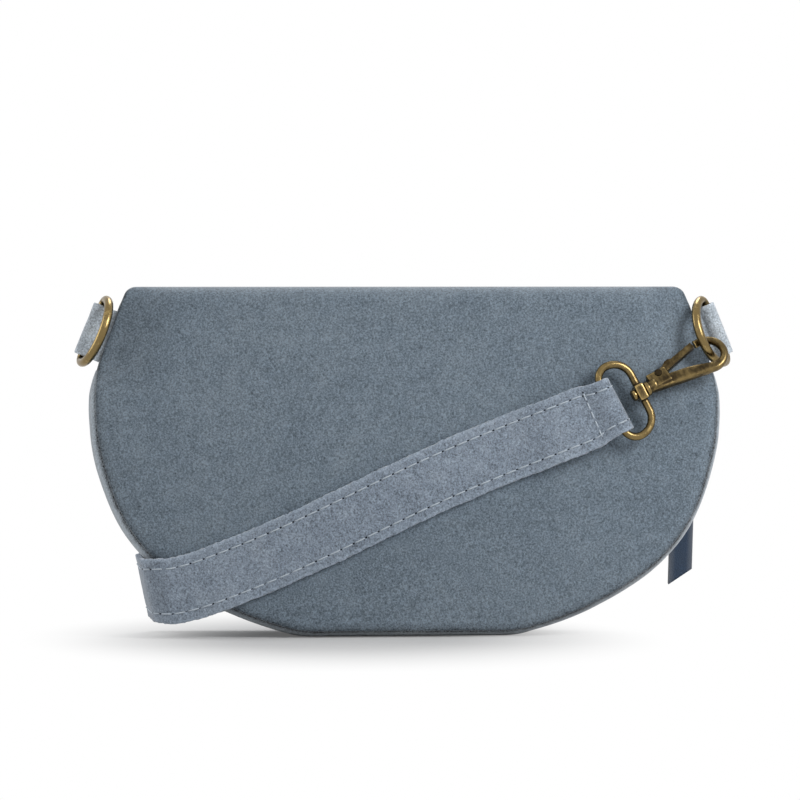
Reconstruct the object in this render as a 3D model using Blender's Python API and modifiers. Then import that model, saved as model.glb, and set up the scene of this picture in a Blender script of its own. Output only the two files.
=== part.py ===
"""Suede belt bag: half-moon shell with a curved front zip, D rings and a belt strap with trigger snaps.

The bag stands on its flat base at the origin. +X runs to the right when the plain back is seen,
+Z is up, and +Y points from the back panel to the zip side.
"""
import math

import bmesh
import bpy
from mathutils import Matrix, Vector

MM = 0.001
WELD = 0.01 * MM

# Shell of the bag
HALF_WIDTH = 135.6 * MM
BODY_TOP = 152.0 * MM
SEAM_LIFT = 3.0 * MM
HALF_DEPTH = 25.0 * MM
FOLD_RADIUS = 8.5 * MM
FOLD_FRONT = 6.5 * MM
FOLD_BACK = 10.5 * MM
CUT_HALF_DEPTH = 3.6 * MM
CUT_START_DROP = 48.0 * MM
CUT_END_DROP = 30.0 * MM
CUT_START = BODY_TOP - CUT_START_DROP
CUT_END = BODY_TOP - CUT_END_DROP
CUT_GAP = 0.5 * MM
CUT_PINCH_SHARE = 0.8
BACK_CROWN = 4.5 * MM
FRONT_CROWN = 2.4 * MM
CROWN_POWER = 1.3
LEATHER = 1.4 * MM
SEAM_GAP = 0.35 * MM
GUSSET_BULGE = 3.4 * MM
GUSSET_TUCK = 1.0 * MM
GUSSET_DROP = 36.5 * MM
GUSSET_TOP = BODY_TOP - GUSSET_DROP
GUSSET_POWER = 5
GUSSET_FULL_DEPTH = 30.0 * MM
LINING = 0.8 * MM
LINING_GAP = 0.6 * MM
LINING_INSET = 3.4 * MM
LINING_BACK_DROP = 16.0 * MM
LINING_BACK_TOP = BODY_TOP - LINING_BACK_DROP
LINING_POWER = 1.7

# Zip, measured in the leaning plane of the front
ZIP_RADIUS = 226.0 * MM
ZIP_CREST_DROP = 12.5 * MM
ZIP_SIDE_GAP = 3.774 * MM
ZIP_OPENING = 5.0 * MM
TAPE_REACH = 8.0 * MM
TAPE_START = 3.4 * MM
TAPE_SPARE = 0.4 * MM
TAPE = 0.7 * MM
TAPE_GAP = 0.3 * MM
TEETH_END_GAP = 1.58 * MM
TOOTH_PITCH = 3.4 * MM
TOOTH_LENGTH = 1.7 * MM
TOOTH_INNER = 0.7 * MM
TOOTH_OUTER = 3.1 * MM
TOOTH_ROOT = 2.0 * MM
TOOTH_THICKNESS = 2.6 * MM
STOP_LENGTH = 1.5 * MM
SLIDER_LENGTH = 8.8 * MM
SLIDER_WIDTH = 9.0 * MM
SLIDER_PLATE = 1.3 * MM
SLIDER_TOP = 1.2 * MM
SLIDER_BRIDGE = 0.8 * MM
SLIDER_FLANGE = 0.8 * MM
SLIDER_CLEAR = 0.35 * MM
BAIL_WIRE = 0.9 * MM
BAIL_HALF_SPAN = 3.6 * MM
BAIL_RISE = 2.6 * MM
LINK_WIRE = 0.8 * MM
LINK_HALF_WIDTH = 4.5 * MM
LINK_LENGTH = 12.5 * MM
LINK_CORNER = 1.6 * MM
LINK_OUT = 3.1 * MM
PULL_LEATHER = 1.2 * MM
PULL_EYE = 1.45 * MM
PULL_HALF_WIDTH = 5.2 * MM
PULL_NECK_HALF_WIDTH = 3.3 * MM
PULL_NECK = 5.0 * MM
PULL_SHOULDER = 10.0 * MM
PULL_LENGTH = 58.0 * MM
PULL_SLANT_RISE = 3.6 * MM

# Side tabs and D rings
TAB_STAND_OFF = 8.15 * MM
TAB_Y = -2.0 * MM
TAB_DROP = 19.0 * MM
TAB_Z = BODY_TOP - TAB_DROP
TAB_LEATHER = 1.55 * MM
TAB_EYE = 2.35 * MM
TAB_HALF_WIDTH = 11.7 * MM
TAB_REACH = 18.0 * MM
LAYER_GAP = 0.3 * MM
RING_WIRE = 2.0 * MM
RING_HALF_WIDTH = 14.5 * MM
RING_LEG = 3.0 * MM
RING_CORNER = 3.0 * MM

# Trigger snap, measured from the bar of its loop
LOOP_WIRE = 1.75 * MM
LOOP_HALF_WIDTH = 16.85 * MM
LOOP_LENGTH = 14.5 * MM
LOOP_FRONT_CORNER = 7.0 * MM
LOOP_BACK_CORNER = 3.0 * MM
EYE_RADIUS = 3.6 * MM
EYE_HALF_LENGTH = 2.1 * MM
EYE_HOLE = 1.85 * MM
STEM_RADIUS = 1.5 * MM
STUD_RADIUS = 2.6 * MM
STUD_LENGTH = 1.9 * MM
EYE_CLEAR = 0.35 * MM
HEAD_EDGE_SHARE = 0.7
BARREL_RADIUS = 3.3 * MM
BARREL_LENGTH = 5.5 * MM
BARREL_EDGE_SHARE = 0.9
BARREL_ROUND_SHARE = 0.2
BARREL_SEAT_SHARE = 0.3
CHEEK_LENGTH = 8.0 * MM
CHEEK_LOW = 4.2 * MM
CHEEK_HIGH = 5.2 * MM
CHEEK_HALF = 2.4 * MM
CHEEK_ROUND = 0.9 * MM
GATE_SLOT_HALF = 1.45 * MM
GATE_SLOT_FLOOR = 0.0 * MM
PIVOT_ALONG = 25.6 * MM
PIVOT_UP = 3.4 * MM
RIVET_RADIUS = 1.0 * MM
RIVET_HOLE = 1.3 * MM
RIVET_HEAD = 1.7 * MM
RIVET_HEAD_HEIGHT = 0.5 * MM
ARM_WIRE = 1.8 * MM
ARM_ALONG = 27.0 * MM
ARM_LOW = 2.2 * MM
BOW_ALONG = 49.5 * MM
BOW_UP = 1.5 * MM
BOW_RADIUS = 7.4 * MM
NOSE_ALONG = 47.0 * MM
GATE_HALF = 1.15 * MM
GATE_ROOT = 1.7 * MM
GATE_TIP_GAP = 0.6 * MM
GATE_TIP_ALONG = NOSE_ALONG - GATE_TIP_GAP
GATE_TIP_HALF = 1.3 * MM
GATE_TIP_CUT = 0.6 * MM
GATE_BUMP_ALONG = 31.0 * MM
GATE_BUMP = 1.0 * MM
SPRING_WIRE = 0.2 * MM
SPRING_RADIUS = 0.8 * MM
SPRING_TURNS = 2
SPRING_ALONG = 28.4 * MM
SPRING_LOW = 0.45 * MM
SPRING_HIGH = 1.75 * MM

# Strap
STRAP_HALF_WIDTH = 14.2 * MM
STRAP_LEATHER = 2.4 * MM
STRAP_CHAMFER = 0.4 * MM
STRAP_FOLD_HALF_WIDTH = 12.5 * MM
STRAP_NARROW = 9.0 * MM
STRAP_FOLD_BACK = 26.0 * MM
STRAP_CLOSE = 12.0 * MM
STRAP_DROP_START = 28.0 * MM
STRAP_DROP_END = 46.0 * MM
STRAP_END_LIFT = 2.8 * MM
STRAP_END_RUN = 60.0 * MM
SNAP_REACH = 49.1 * MM
SNAP_DROP = 34.3 * MM
TURN_RADIUS = 9.0 * MM
TURN_LIFT = 0.9 * MM
TURN_LIFT_SHARE = 0.5
TURN_UPRIGHT_SHARE = 0.62
TURN_BLEND_SHARE = 0.13
TURN_REAR_GAP = 4.0 * MM
TURN_OUT_Y = HALF_DEPTH - TURN_REAR_GAP
RUN_ONE_END = 58.0 * MM
RUN_ONE_Z = 46.0 * MM
HANK_RADIUS = 6.0 * MM
RUN_TWO_END = 38.0 * MM
RUN_THREE_Z = 19.8 * MM
BAR_B_X = 4.0 * MM

# Rest angles in degrees
TAB_TILT = 22.0
RING_RIGHT_TURN = 31.0
RING_LEFT_TURN = 12.0
HOOK_RISE = 26.5
HOOK_LEAN = 3.5
HOOK_SWIVEL = -28.0
HOOK_B_SWIVEL = 180.0
PULL_LEAN = 0.5
TURN_TILTS = (16.0, 14.0, 12.0, 9.0)
SHARP_ANGLE = 40.0

# Outline of the side seam: height over the bottom seam and half width
OUTLINE_SHARES = (
    (0.0, 0.317),
    (0.006, 0.369),
    (0.025, 0.4425),
    (0.0537, 0.529),
    (0.0826, 0.599),
    (0.1262, 0.688),
    (0.1826, 0.778),
    (0.2389, 0.842),
    (0.294, 0.889),
    (0.351, 0.9233),
    (0.408, 0.9484),
    (0.4664, 0.9683),
    (0.5235, 0.9838),
    (0.5772, 0.9941),
    (0.6443, 1.0),
    (0.7047, 0.9985),
    (0.745, 0.9941),
    (0.7919, 0.9801),
    (0.8423, 0.9602),
    (0.9329, 0.9233),
    (0.9832, 0.9019),
    (1.0, 0.8923),
)

# Middle line of the strap on the back, from the clipped snap down to the turn
STRAP_SHARES = (
    (0.6416, 0.6474),
    (0.5642, 0.6184),
    (0.483, 0.5908),
    (0.354, 0.5487),
    (0.2249, 0.5039),
    (0.0959, 0.4562),
    (-0.0332, 0.4043),
    (-0.1622, 0.3497),
    (-0.2913, 0.2951),
    (-0.4204, 0.2431),
    (-0.5494, 0.1957),
    (-0.6785, 0.1530),
    (-0.768, 0.1342),
)

BAG = "belt_bag"
COLUMNS = 24
SIDE_ROWS = 20
FOLD_ROWS = 8
YOKE_ROWS = 8
FRONT_ROWS = 17
GUSSET_SIDE_ROWS = 20
GUSSET_BASE_ROWS = 4
GUSSET_COLUMNS = 10
LINING_COLUMNS = 20
LINING_ROWS = 9
CURVE_STEPS = 10
BAND_STEPS = 32
EYE_STEPS = 14
FOLD_STEPS = 10
TURN_STEPS = 8
RUN_ONE_STEPS = 20
RUN_TWO_STEPS = 12
CORNER_STEPS = 4
BOW_STEPS = 16
SETTLE_STEPS = 40
TUBE_SIDES = 8
ROUND_SIDES = 16

for stale in list(bpy.data.objects):
    bpy.data.objects.remove(stale, do_unlink=True)


def make_collection(name):
    group = bpy.data.collections.new(name)
    bpy.context.scene.collection.children.link(group)
    return group


PIECES = make_collection(BAG)
CUTTERS = make_collection(BAG + "_cutters")


def smooth(share):
    held = min(max(share, 0.0), 1.0)
    return held * held * (3.0 - 2.0 * held)


def blend(first, second, share):
    return first + (second - first) * share


def catmull(points, steps):
    """Points of a smooth curve through the given points."""
    result = []
    last = len(points) - 1
    for index in range(last):
        before = points[max(index - 1, 0)]
        here = points[index]
        there = points[index + 1]
        after = points[min(index + 2, last)]
        for step in range(steps):
            share = step / steps
            square = share * share
            cube = square * share
            result.append(0.5 * (
                2.0 * here
                + (there - before) * share
                + (2.0 * before - 5.0 * here + 4.0 * there - after) * square
                + (3.0 * here - before - 3.0 * there + after) * cube))
    result.append(points[last].copy())
    return result


def outline_corners():
    rise = BODY_TOP - SEAM_LIFT
    return [Vector((HALF_WIDTH * wide, 0.0, SEAM_LIFT + rise * high)) for high, wide in OUTLINE_SHARES]


OUTLINE = catmull(outline_corners(), CURVE_STEPS)


def inward_offset(path, distance):
    """Path moved towards the middle of the bag, square to its own direction."""
    moved = []
    for index, point in enumerate(path):
        ahead = path[min(index + 1, len(path) - 1)]
        behind = path[max(index - 1, 0)]
        along = (ahead - behind).normalized()
        moved.append(point + Vector((-along.z, 0.0, along.x)) * distance)
    return moved


INNER_OUTLINE = inward_offset(OUTLINE, LINING_INSET)


def width_at(path, height):
    if height <= path[0].z:
        return path[0].x
    for low, high in zip(path, path[1:]):
        if high.z >= height and high.z > low.z:
            return blend(low.x, high.x, (height - low.z) / (high.z - low.z))
    return path[-1].x


def even_heights(path, bottom, top, count):
    """Heights spaced evenly along the curved side edge between two heights."""
    inside = [point for point in path if bottom < point.z < top]
    first = Vector((width_at(path, bottom), 0.0, bottom))
    final = Vector((width_at(path, top), 0.0, top))
    line = [first] + inside + [final]
    lengths = [0.0]
    for low, high in zip(line, line[1:]):
        lengths.append(lengths[-1] + (high - low).length)
    heights = []
    for step in range(count + 1):
        wanted = lengths[-1] * step / count
        index = 0
        while index < len(line) - 2 and lengths[index + 1] < wanted:
            index += 1
        span = lengths[index + 1] - lengths[index]
        share = (wanted - lengths[index]) / span if span > 0.0 else 1.0
        heights.append(blend(line[index].z, line[index + 1].z, min(share, 1.0)))
    return heights


FOLD_BASE = BODY_TOP - FOLD_RADIUS
WALL_RISE = FOLD_BASE - SEAM_LIFT
FRONT_SLOPE = (HALF_DEPTH - FOLD_FRONT) / WALL_RISE
BACK_SLOPE = (HALF_DEPTH - FOLD_BACK) / WALL_RISE
FRONT_TILT = math.atan(FRONT_SLOPE)
ZIP_CREST = WALL_RISE - ZIP_CREST_DROP
ZIP_CENTRE = ZIP_CREST - ZIP_RADIUS
TAB_X = width_at(OUTLINE, TAB_Z) + TAB_STAND_OFF


def plane_y(side, height):
    if side > 0:
        return HALF_DEPTH - (height - SEAM_LIFT) * FRONT_SLOPE
    return -HALF_DEPTH + (height - SEAM_LIFT) * BACK_SLOPE


def middle_y(height):
    return 0.5 * (plane_y(1, height) + plane_y(-1, height))


def zip_height(across, reach):
    """Height of the zip curve, moved outwards by reach, at a place across the bag."""
    radius = ZIP_RADIUS + reach
    up_slope = ZIP_CENTRE + math.sqrt(radius * radius - across * across)
    return SEAM_LIFT + up_slope * math.cos(FRONT_TILT)


def crown(side, share, height):
    across = share * width_at(OUTLINE, height)
    if side > 0:
        top = zip_height(across, -TAPE_REACH - ZIP_OPENING)
        bulge = FRONT_CROWN
    else:
        top = FOLD_BASE
        bulge = BACK_CROWN
    part = (height - SEAM_LIFT) / (top - SEAM_LIFT)
    if part <= 0.0 or part >= 1.0:
        return 0.0
    return bulge * (1.0 - share * share) * math.sin(math.pi * part) ** CROWN_POWER


def wall_y(side, share, height):
    """Outer face of the back (side -1) or front (side 1) below the fold."""
    middle = middle_y(height)
    flat = plane_y(side, height)
    rise = smooth((height - CUT_START) / (CUT_END - CUT_START))
    reach = smooth((abs(share) - CUT_PINCH_SHARE) / (1.0 - CUT_PINCH_SHARE))
    pinched = blend(flat, middle + side * CUT_HALF_DEPTH, rise * reach)
    return pinched + side * crown(side, share, height)


def wall_point(side, share, height):
    return Vector((share * width_at(OUTLINE, height), wall_y(side, share, height), height))


def fold_point(share, angle):
    """Point on the rolled top: angle 0 is its back edge, 180 its front edge."""
    height = FOLD_BASE + FOLD_RADIUS * math.sin(angle)
    side = -1 if angle < math.pi / 2 else 1
    middle = middle_y(FOLD_BASE)
    reach = wall_y(side, share, FOLD_BASE) - middle
    return Vector((share * width_at(OUTLINE, height), middle + reach * abs(math.cos(angle)), height))


def zip_edge_height(share, reach):
    """Height where a column of the front meets the zip curve moved by reach."""
    height = zip_height(0.0, reach)
    for _ in range(SETTLE_STEPS):
        height = zip_height(share * width_at(OUTLINE, height), reach)
    return height


ZIP_END = width_at(OUTLINE, zip_edge_height(1.0, 0.0)) - ZIP_SIDE_GAP
ZIP_STOP_ANGLE = math.degrees(math.asin(ZIP_END / ZIP_RADIUS))
ZIP_TEETH_ANGLE = ZIP_STOP_ANGLE - math.degrees(TEETH_END_GAP / ZIP_RADIUS)
TAPE_END = ZIP_END + TAPE_SPARE


def set_material(thing, colour, rough, metal):
    surface = bpy.data.materials.new(thing.name)
    surface.use_nodes = True
    shader = surface.node_tree.nodes["Principled BSDF"]
    shader.inputs["Base Color"].default_value = (colour[0], colour[1], colour[2], 1.0)
    shader.inputs["Roughness"].default_value = rough
    shader.inputs["Metallic"].default_value = metal
    thing.data.materials.clear()
    thing.data.materials.append(surface)


SUEDE = ((0.150, 0.191, 0.223), 0.9, 0.0)
STRAP_SUEDE = ((0.191, 0.231, 0.279), 0.9, 0.0)
TAB_SUEDE = ((0.30, 0.34, 0.37), 0.9, 0.0)
NAVY = ((0.038, 0.061, 0.098), 0.7, 0.0)
FABRIC = ((0.10, 0.12, 0.14), 0.9, 0.0)
TAPE_CLOTH = ((0.05, 0.07, 0.10), 0.85, 0.0)
BRASS = ((0.34, 0.27, 0.12), 0.35, 1.0)


def link_piece(name, mesh, finish, soft):
    thing = bpy.data.objects.new(name, mesh)
    PIECES.objects.link(thing)
    set_material(thing, *finish)
    if soft:
        mesh.shade_smooth()
        mesh.set_sharp_from_angle(angle=math.radians(SHARP_ANGLE))
    return thing


def mesh_from(name, points, faces):
    mesh = bpy.data.meshes.new(name)
    mesh.from_pydata(points, [], faces)
    mesh.validate()
    return mesh


def grid_mesh(name, rows, closed=False):
    """Sheet of quads through rows of points."""
    across = len(rows[0])
    points = [point for row in rows for point in row]
    faces = []
    last = across if closed else across - 1
    for row in range(len(rows) - 1):
        for column in range(last):
            beside = (column + 1) % across
            faces.append((
                row * across + column,
                row * across + beside,
                (row + 1) * across + beside,
                (row + 1) * across + column,
            ))
    return mesh_from(name, points, faces)


def add_thickness(thing, thickness):
    shell = thing.modifiers.new("thickness", "SOLIDIFY")
    shell.thickness = thickness
    shell.offset = -1.0
    shell.use_even_offset = True
    shell.use_rim = True


def shares_across(count):
    return [2.0 * step / count - 1.0 for step in range(count + 1)]


def build_back_panel():
    columns = shares_across(COLUMNS)
    rows = []
    for height in even_heights(OUTLINE, SEAM_LIFT, FOLD_BASE, SIDE_ROWS):
        rows.append([wall_point(-1, share, height) for share in columns])
    for step in range(1, FOLD_ROWS):
        angle = math.pi * step / FOLD_ROWS
        rows.append([fold_point(share, angle) for share in columns])
    for step in range(YOKE_ROWS + 1):
        part = step / YOKE_ROWS
        row = []
        for share in columns:
            low = zip_edge_height(share, ZIP_OPENING)
            row.append(wall_point(1, share, blend(FOLD_BASE, low, part)))
        rows.append(row)
    thing = link_piece("back_panel", grid_mesh("back_panel", rows), SUEDE, True)
    add_thickness(thing, LEATHER)


def build_front_panel():
    columns = shares_across(COLUMNS)
    rows = []
    for step in range(FRONT_ROWS + 1):
        row = []
        for share in columns:
            top = zip_edge_height(share, -ZIP_OPENING)
            ladder = even_heights(OUTLINE, SEAM_LIFT, top, FRONT_ROWS)
            row.append(wall_point(1, share, ladder[FRONT_ROWS - step]))
        rows.append(row)
    thing = link_piece("front_panel", grid_mesh("front_panel", rows), SUEDE, True)
    add_thickness(thing, LEATHER)


def gusset_path():
    heights = even_heights(OUTLINE, SEAM_LIFT, GUSSET_TOP, GUSSET_SIDE_ROWS)
    right = [Vector((width_at(OUTLINE, height), 0.0, height)) for height in heights]
    left = [Vector((-point.x, 0.0, point.z)) for point in reversed(right)]
    base = []
    for step in range(1, GUSSET_BASE_ROWS):
        across = blend(left[-1].x, right[0].x, step / GUSSET_BASE_ROWS)
        base.append(Vector((across, 0.0, SEAM_LIFT)))
    return left + base + right


def inner_face_y(side, height, gap):
    """Y of the inner face of a wall at the side seam, with a gap left free."""
    slope = (wall_y(side, 1.0, height + gap) - wall_y(side, 1.0, height)) / gap
    spare = gap + CUT_GAP * smooth((height - CUT_START + FOLD_RADIUS) / FOLD_RADIUS)
    return wall_y(side, 1.0, height) - side * (LEATHER + spare) * math.sqrt(1.0 + slope * slope)


def gusset_row(path, index):
    here = path[index]
    ahead = path[min(index + 1, len(path) - 1)]
    behind = path[max(index - 1, 0)]
    along = (ahead - behind).normalized()
    outward = Vector((along.z, 0.0, -along.x))
    back = inner_face_y(-1, here.z, SEAM_GAP)
    front = inner_face_y(1, here.z, SEAM_GAP)
    bulge = GUSSET_BULGE * min(1.0, (front - back) / GUSSET_FULL_DEPTH)
    row = []
    for column in range(GUSSET_COLUMNS + 1):
        share = 0.5 - 0.5 * math.cos(math.pi * column / GUSSET_COLUMNS)
        rise = math.sqrt(max(0.0, 1.0 - abs(2.0 * share - 1.0) ** GUSSET_POWER))
        point = here + outward * (rise * (bulge + GUSSET_TUCK) - GUSSET_TUCK)
        row.append(Vector((point.x, blend(back, front, share), max(point.z, 0.0))))
    return row


def build_gusset():
    path = gusset_path()
    rows = [gusset_row(path, index) for index in range(len(path))]
    thing = link_piece("gusset", grid_mesh("gusset", rows), SUEDE, True)
    add_thickness(thing, LEATHER)


def lining_wall_y(side, across, height):
    share = across / width_at(OUTLINE, height)
    return wall_y(side, share, height) - side * (LEATHER + LINING_GAP)


def lining_rim(side, share):
    front = zip_edge_height(share, -TAPE_REACH - TAPE_START)
    if side > 0:
        return front
    edge = zip_edge_height(1.0, -TAPE_REACH - TAPE_START)
    return blend(edge, LINING_BACK_TOP, math.sqrt(1.0 - share * share))


def lining_loop(part):
    """One ring of the lining from its floor (part 0) to its rim (part 1)."""
    floor = INNER_OUTLINE[0].z
    columns = shares_across(LINING_COLUMNS)
    loop = []
    for side in (-1, 1):
        ordered = columns if side < 0 else list(reversed(columns))
        for share in ordered:
            height = blend(floor, lining_rim(side, share), part ** LINING_POWER)
            across = share * width_at(INNER_OUTLINE, height)
            loop.append(Vector((across, lining_wall_y(side, across, height), height)))
    return loop


def build_lining():
    rows = [lining_loop(step / LINING_ROWS) for step in range(LINING_ROWS + 1)]
    mesh = grid_mesh("lining", rows, closed=True)
    work = bmesh.new()
    work.from_mesh(mesh)
    work.verts.ensure_lookup_table()
    work.faces.new([work.verts[index] for index in reversed(range(len(rows[0])))])
    bmesh.ops.recalc_face_normals(work, faces=work.faces)
    work.to_mesh(mesh)
    work.free()
    thing = link_piece("lining", mesh, FABRIC, True)
    add_thickness(thing, LINING)


def empty(name, place, turn, parent=None):
    frame = bpy.data.objects.new(name, None)
    frame.empty_display_size = FOLD_RADIUS
    PIECES.objects.link(frame)
    frame.location = place
    frame.rotation_euler = turn
    frame.parent = parent
    return frame


def filled_outline(name, loops, bottom, top, finish, parent, edge=0.0):
    """Flat shape of one or more closed loops, standing between two levels along its own Z."""
    curve = bpy.data.curves.new(name, "CURVE")
    curve.dimensions = "2D"
    curve.fill_mode = "BOTH"
    curve.extrude = (top - bottom) / 2 - edge
    curve.bevel_depth = edge
    curve.bevel_resolution = 0
    for loop in loops:
        spline = curve.splines.new("POLY")
        spline.points.add(len(loop) - 1)
        for slot, point in zip(spline.points, loop):
            slot.co = (point[0], point[1], 0.0, 1.0)
        spline.use_cyclic_u = True
    thing = bpy.data.objects.new(name, curve)
    PIECES.objects.link(thing)
    thing.location = (0.0, 0.0, (top + bottom) / 2)
    thing.parent = parent
    set_material(thing, *finish)
    return thing


def zip_spot(angle, radius):
    """Point in the front plane at an angle from the middle of the zip."""
    turn = math.radians(angle)
    return (radius * math.sin(turn), ZIP_CENTRE + radius * math.cos(turn))


def zip_band(inner, outer, end, count):
    """Band between two radii, cut off square at a distance across the bag."""
    near = math.degrees(math.asin(end / inner))
    far = math.degrees(math.asin(end / outer))
    loop = []
    for step in range(count + 1):
        loop.append(zip_spot(blend(-near, near, step / count), inner))
    for step in range(count + 1):
        loop.append(zip_spot(blend(far, -far, step / count), outer))
    return loop


TAPE_OUTSIDE = LEATHER + TAPE_GAP
TAPE_INSIDE = TAPE_OUTSIDE + TAPE
CHAIN_MIDDLE = (TAPE_OUTSIDE + TAPE_INSIDE) / 2
CHAIN_OUTSIDE = CHAIN_MIDDLE - TOOTH_THICKNESS / 2
CHAIN_INSIDE = CHAIN_MIDDLE + TOOTH_THICKNESS / 2


def build_zip_tapes(front):
    for name, sign in (("zip_tape_upper", 1), ("zip_tape_lower", -1)):
        near = ZIP_RADIUS + sign * TAPE_START
        far = ZIP_RADIUS + sign * TAPE_REACH
        loop = zip_band(min(near, far), max(near, far), TAPE_END, BAND_STEPS)
        filled_outline(name, [loop], TAPE_OUTSIDE, TAPE_INSIDE, TAPE_CLOTH, front)


def tooth_row(sign):
    """Comb of teeth along the zip: one closed loop."""
    pitch = math.degrees(TOOTH_PITCH / ZIP_RADIUS)
    tooth = math.degrees(TOOTH_LENGTH / ZIP_RADIUS)
    count = int(2.0 * ZIP_TEETH_ANGLE / pitch)
    start = -0.5 * count * pitch
    inner = ZIP_RADIUS + sign * TOOTH_INNER
    root = ZIP_RADIUS + sign * TOOTH_ROOT
    loop = []
    for index in range(count):
        angle = start + index * pitch
        loop.append(zip_spot(angle, root))
        loop.append(zip_spot(angle, inner))
        loop.append(zip_spot(angle + tooth, inner))
        loop.append(zip_spot(angle + tooth, root))
    outer = ZIP_RADIUS + sign * TOOTH_OUTER
    for step in range(count // 2 + 1):
        share = step / (count // 2)
        loop.append(zip_spot(blend(start + (count - 1) * pitch + tooth, start, share), outer))
    return loop


def build_zip_teeth(front):
    for name, sign in (("zip_teeth_upper", 1), ("zip_teeth_lower", -1)):
        filled_outline(name, [tooth_row(sign)], CHAIN_OUTSIDE, CHAIN_INSIDE, BRASS, front)


def build_zip_stops(front):
    half = math.degrees(0.5 * STOP_LENGTH / ZIP_RADIUS)
    for name, sign in (("zip_stop_left", -1), ("zip_stop_right", 1)):
        middle = sign * ZIP_STOP_ANGLE
        loop = [
            zip_spot(middle - half, ZIP_RADIUS - TOOTH_OUTER),
            zip_spot(middle + half, ZIP_RADIUS - TOOTH_OUTER),
            zip_spot(middle + half, ZIP_RADIUS + TOOTH_OUTER),
            zip_spot(middle - half, ZIP_RADIUS + TOOTH_OUTER),
        ]
        filled_outline(name, [loop], CHAIN_OUTSIDE, CHAIN_INSIDE, BRASS, front)


def cutter_object(name, mesh):
    thing = bpy.data.objects.new(name, mesh)
    CUTTERS.objects.link(thing)
    thing.hide_render = True
    thing.display_type = "WIRE"
    return thing


def box_mesh(name, low, high):
    work = bmesh.new()
    bmesh.ops.create_cube(work, size=1.0)
    middle = (Vector(low) + Vector(high)) / 2
    size = Vector(high) - Vector(low)
    for vert in work.verts:
        vert.co = Vector(
            (middle.x + vert.co.x * size.x, middle.y + vert.co.y * size.y, middle.z + vert.co.z * size.z))
    mesh = bpy.data.meshes.new(name)
    work.to_mesh(mesh)
    work.free()
    return mesh


def bevel_all(mesh, width, segments):
    work = bmesh.new()
    work.from_mesh(mesh)
    bmesh.ops.bevel(
        work, geom=list(work.edges), offset=width, segments=segments, affect="EDGES", profile=0.5)
    work.to_mesh(mesh)
    work.free()
    return mesh


def rod_mesh(name, start, end, radius, sides):
    """Closed cylinder between two points."""
    work = bmesh.new()
    along = Vector(end) - Vector(start)
    turn = Vector((0.0, 0.0, 1.0)).rotation_difference(along).to_matrix().to_4x4()
    place = Matrix.Translation((Vector(start) + Vector(end)) / 2) @ turn
    bmesh.ops.create_cone(
        work, cap_ends=True, segments=sides, radius1=radius, radius2=radius,
        depth=along.length, matrix=place)
    mesh = bpy.data.meshes.new(name)
    work.to_mesh(mesh)
    work.free()
    return mesh


def wire_curve(name, path, radius, closed, sides):
    """Round wire along a path, as a curve with filled ends."""
    curve = bpy.data.curves.new(name, "CURVE")
    curve.dimensions = "3D"
    curve.bevel_depth = radius
    curve.bevel_resolution = sides // 2 - 2
    curve.use_fill_caps = not closed
    spline = curve.splines.new("POLY")
    spline.points.add(len(path) - 1)
    for slot, point in zip(spline.points, path):
        slot.co = (point[0], point[1], point[2], 1.0)
    spline.use_cyclic_u = closed
    return curve


def solid_of(curve):
    """Closed mesh of a wire curve, for joining with other shapes."""
    holder = bpy.data.objects.new(curve.name, curve)
    CUTTERS.objects.link(holder)
    scene_now = bpy.context.evaluated_depsgraph_get()
    mesh = bpy.data.meshes.new_from_object(holder.evaluated_get(scene_now))
    bpy.data.objects.remove(holder)
    work = bmesh.new()
    work.from_mesh(mesh)
    bmesh.ops.remove_doubles(work, verts=work.verts, dist=WELD)
    work.to_mesh(mesh)
    work.free()
    return face_outward(mesh)


def face_outward(mesh):
    work = bmesh.new()
    work.from_mesh(mesh)
    bmesh.ops.recalc_face_normals(work, faces=work.faces)
    if work.calc_volume(signed=True) < 0.0:
        bmesh.ops.reverse_faces(work, faces=work.faces)
    work.to_mesh(mesh)
    work.free()
    return mesh


def cut_or_join(thing, other, action):
    step = thing.modifiers.new(action, "BOOLEAN")
    step.operation = action
    step.solver = "EXACT"
    step.object = other


def arc_points(centre, radius, start, end, steps):
    """Points of an arc in the XZ plane, angles in degrees from +X towards +Z."""
    points = []
    for step in range(steps + 1):
        angle = math.radians(blend(start, end, step / steps))
        across = centre[0] + radius * math.cos(angle)
        points.append(Vector((across, 0.0, centre[1] + radius * math.sin(angle))))
    return points


def rounded_loop(left, right, half, left_round, right_round, steps):
    """Closed rounded rectangle in the XZ plane."""
    low = -half
    points = []
    points += arc_points((right - right_round, low + right_round), right_round, -90.0, 0.0, steps)
    points += arc_points((right - right_round, half - right_round), right_round, 0.0, 90.0, steps)
    points += arc_points((left + left_round, half - left_round), left_round, 90.0, 180.0, steps)
    points += arc_points((left + left_round, low + left_round), left_round, 180.0, 270.0, steps)
    return points


def slider_frame(front):
    half_travel = 0.5 * STOP_LENGTH + 0.5 * SLIDER_LENGTH + SLIDER_CLEAR
    angle = ZIP_STOP_ANGLE - math.degrees(half_travel / ZIP_RADIUS)
    spot = zip_spot(angle, ZIP_RADIUS)
    return empty("slider_place", (spot[0], spot[1], 0.0), (0.0, 0.0, -math.radians(angle)), front), angle


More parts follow.
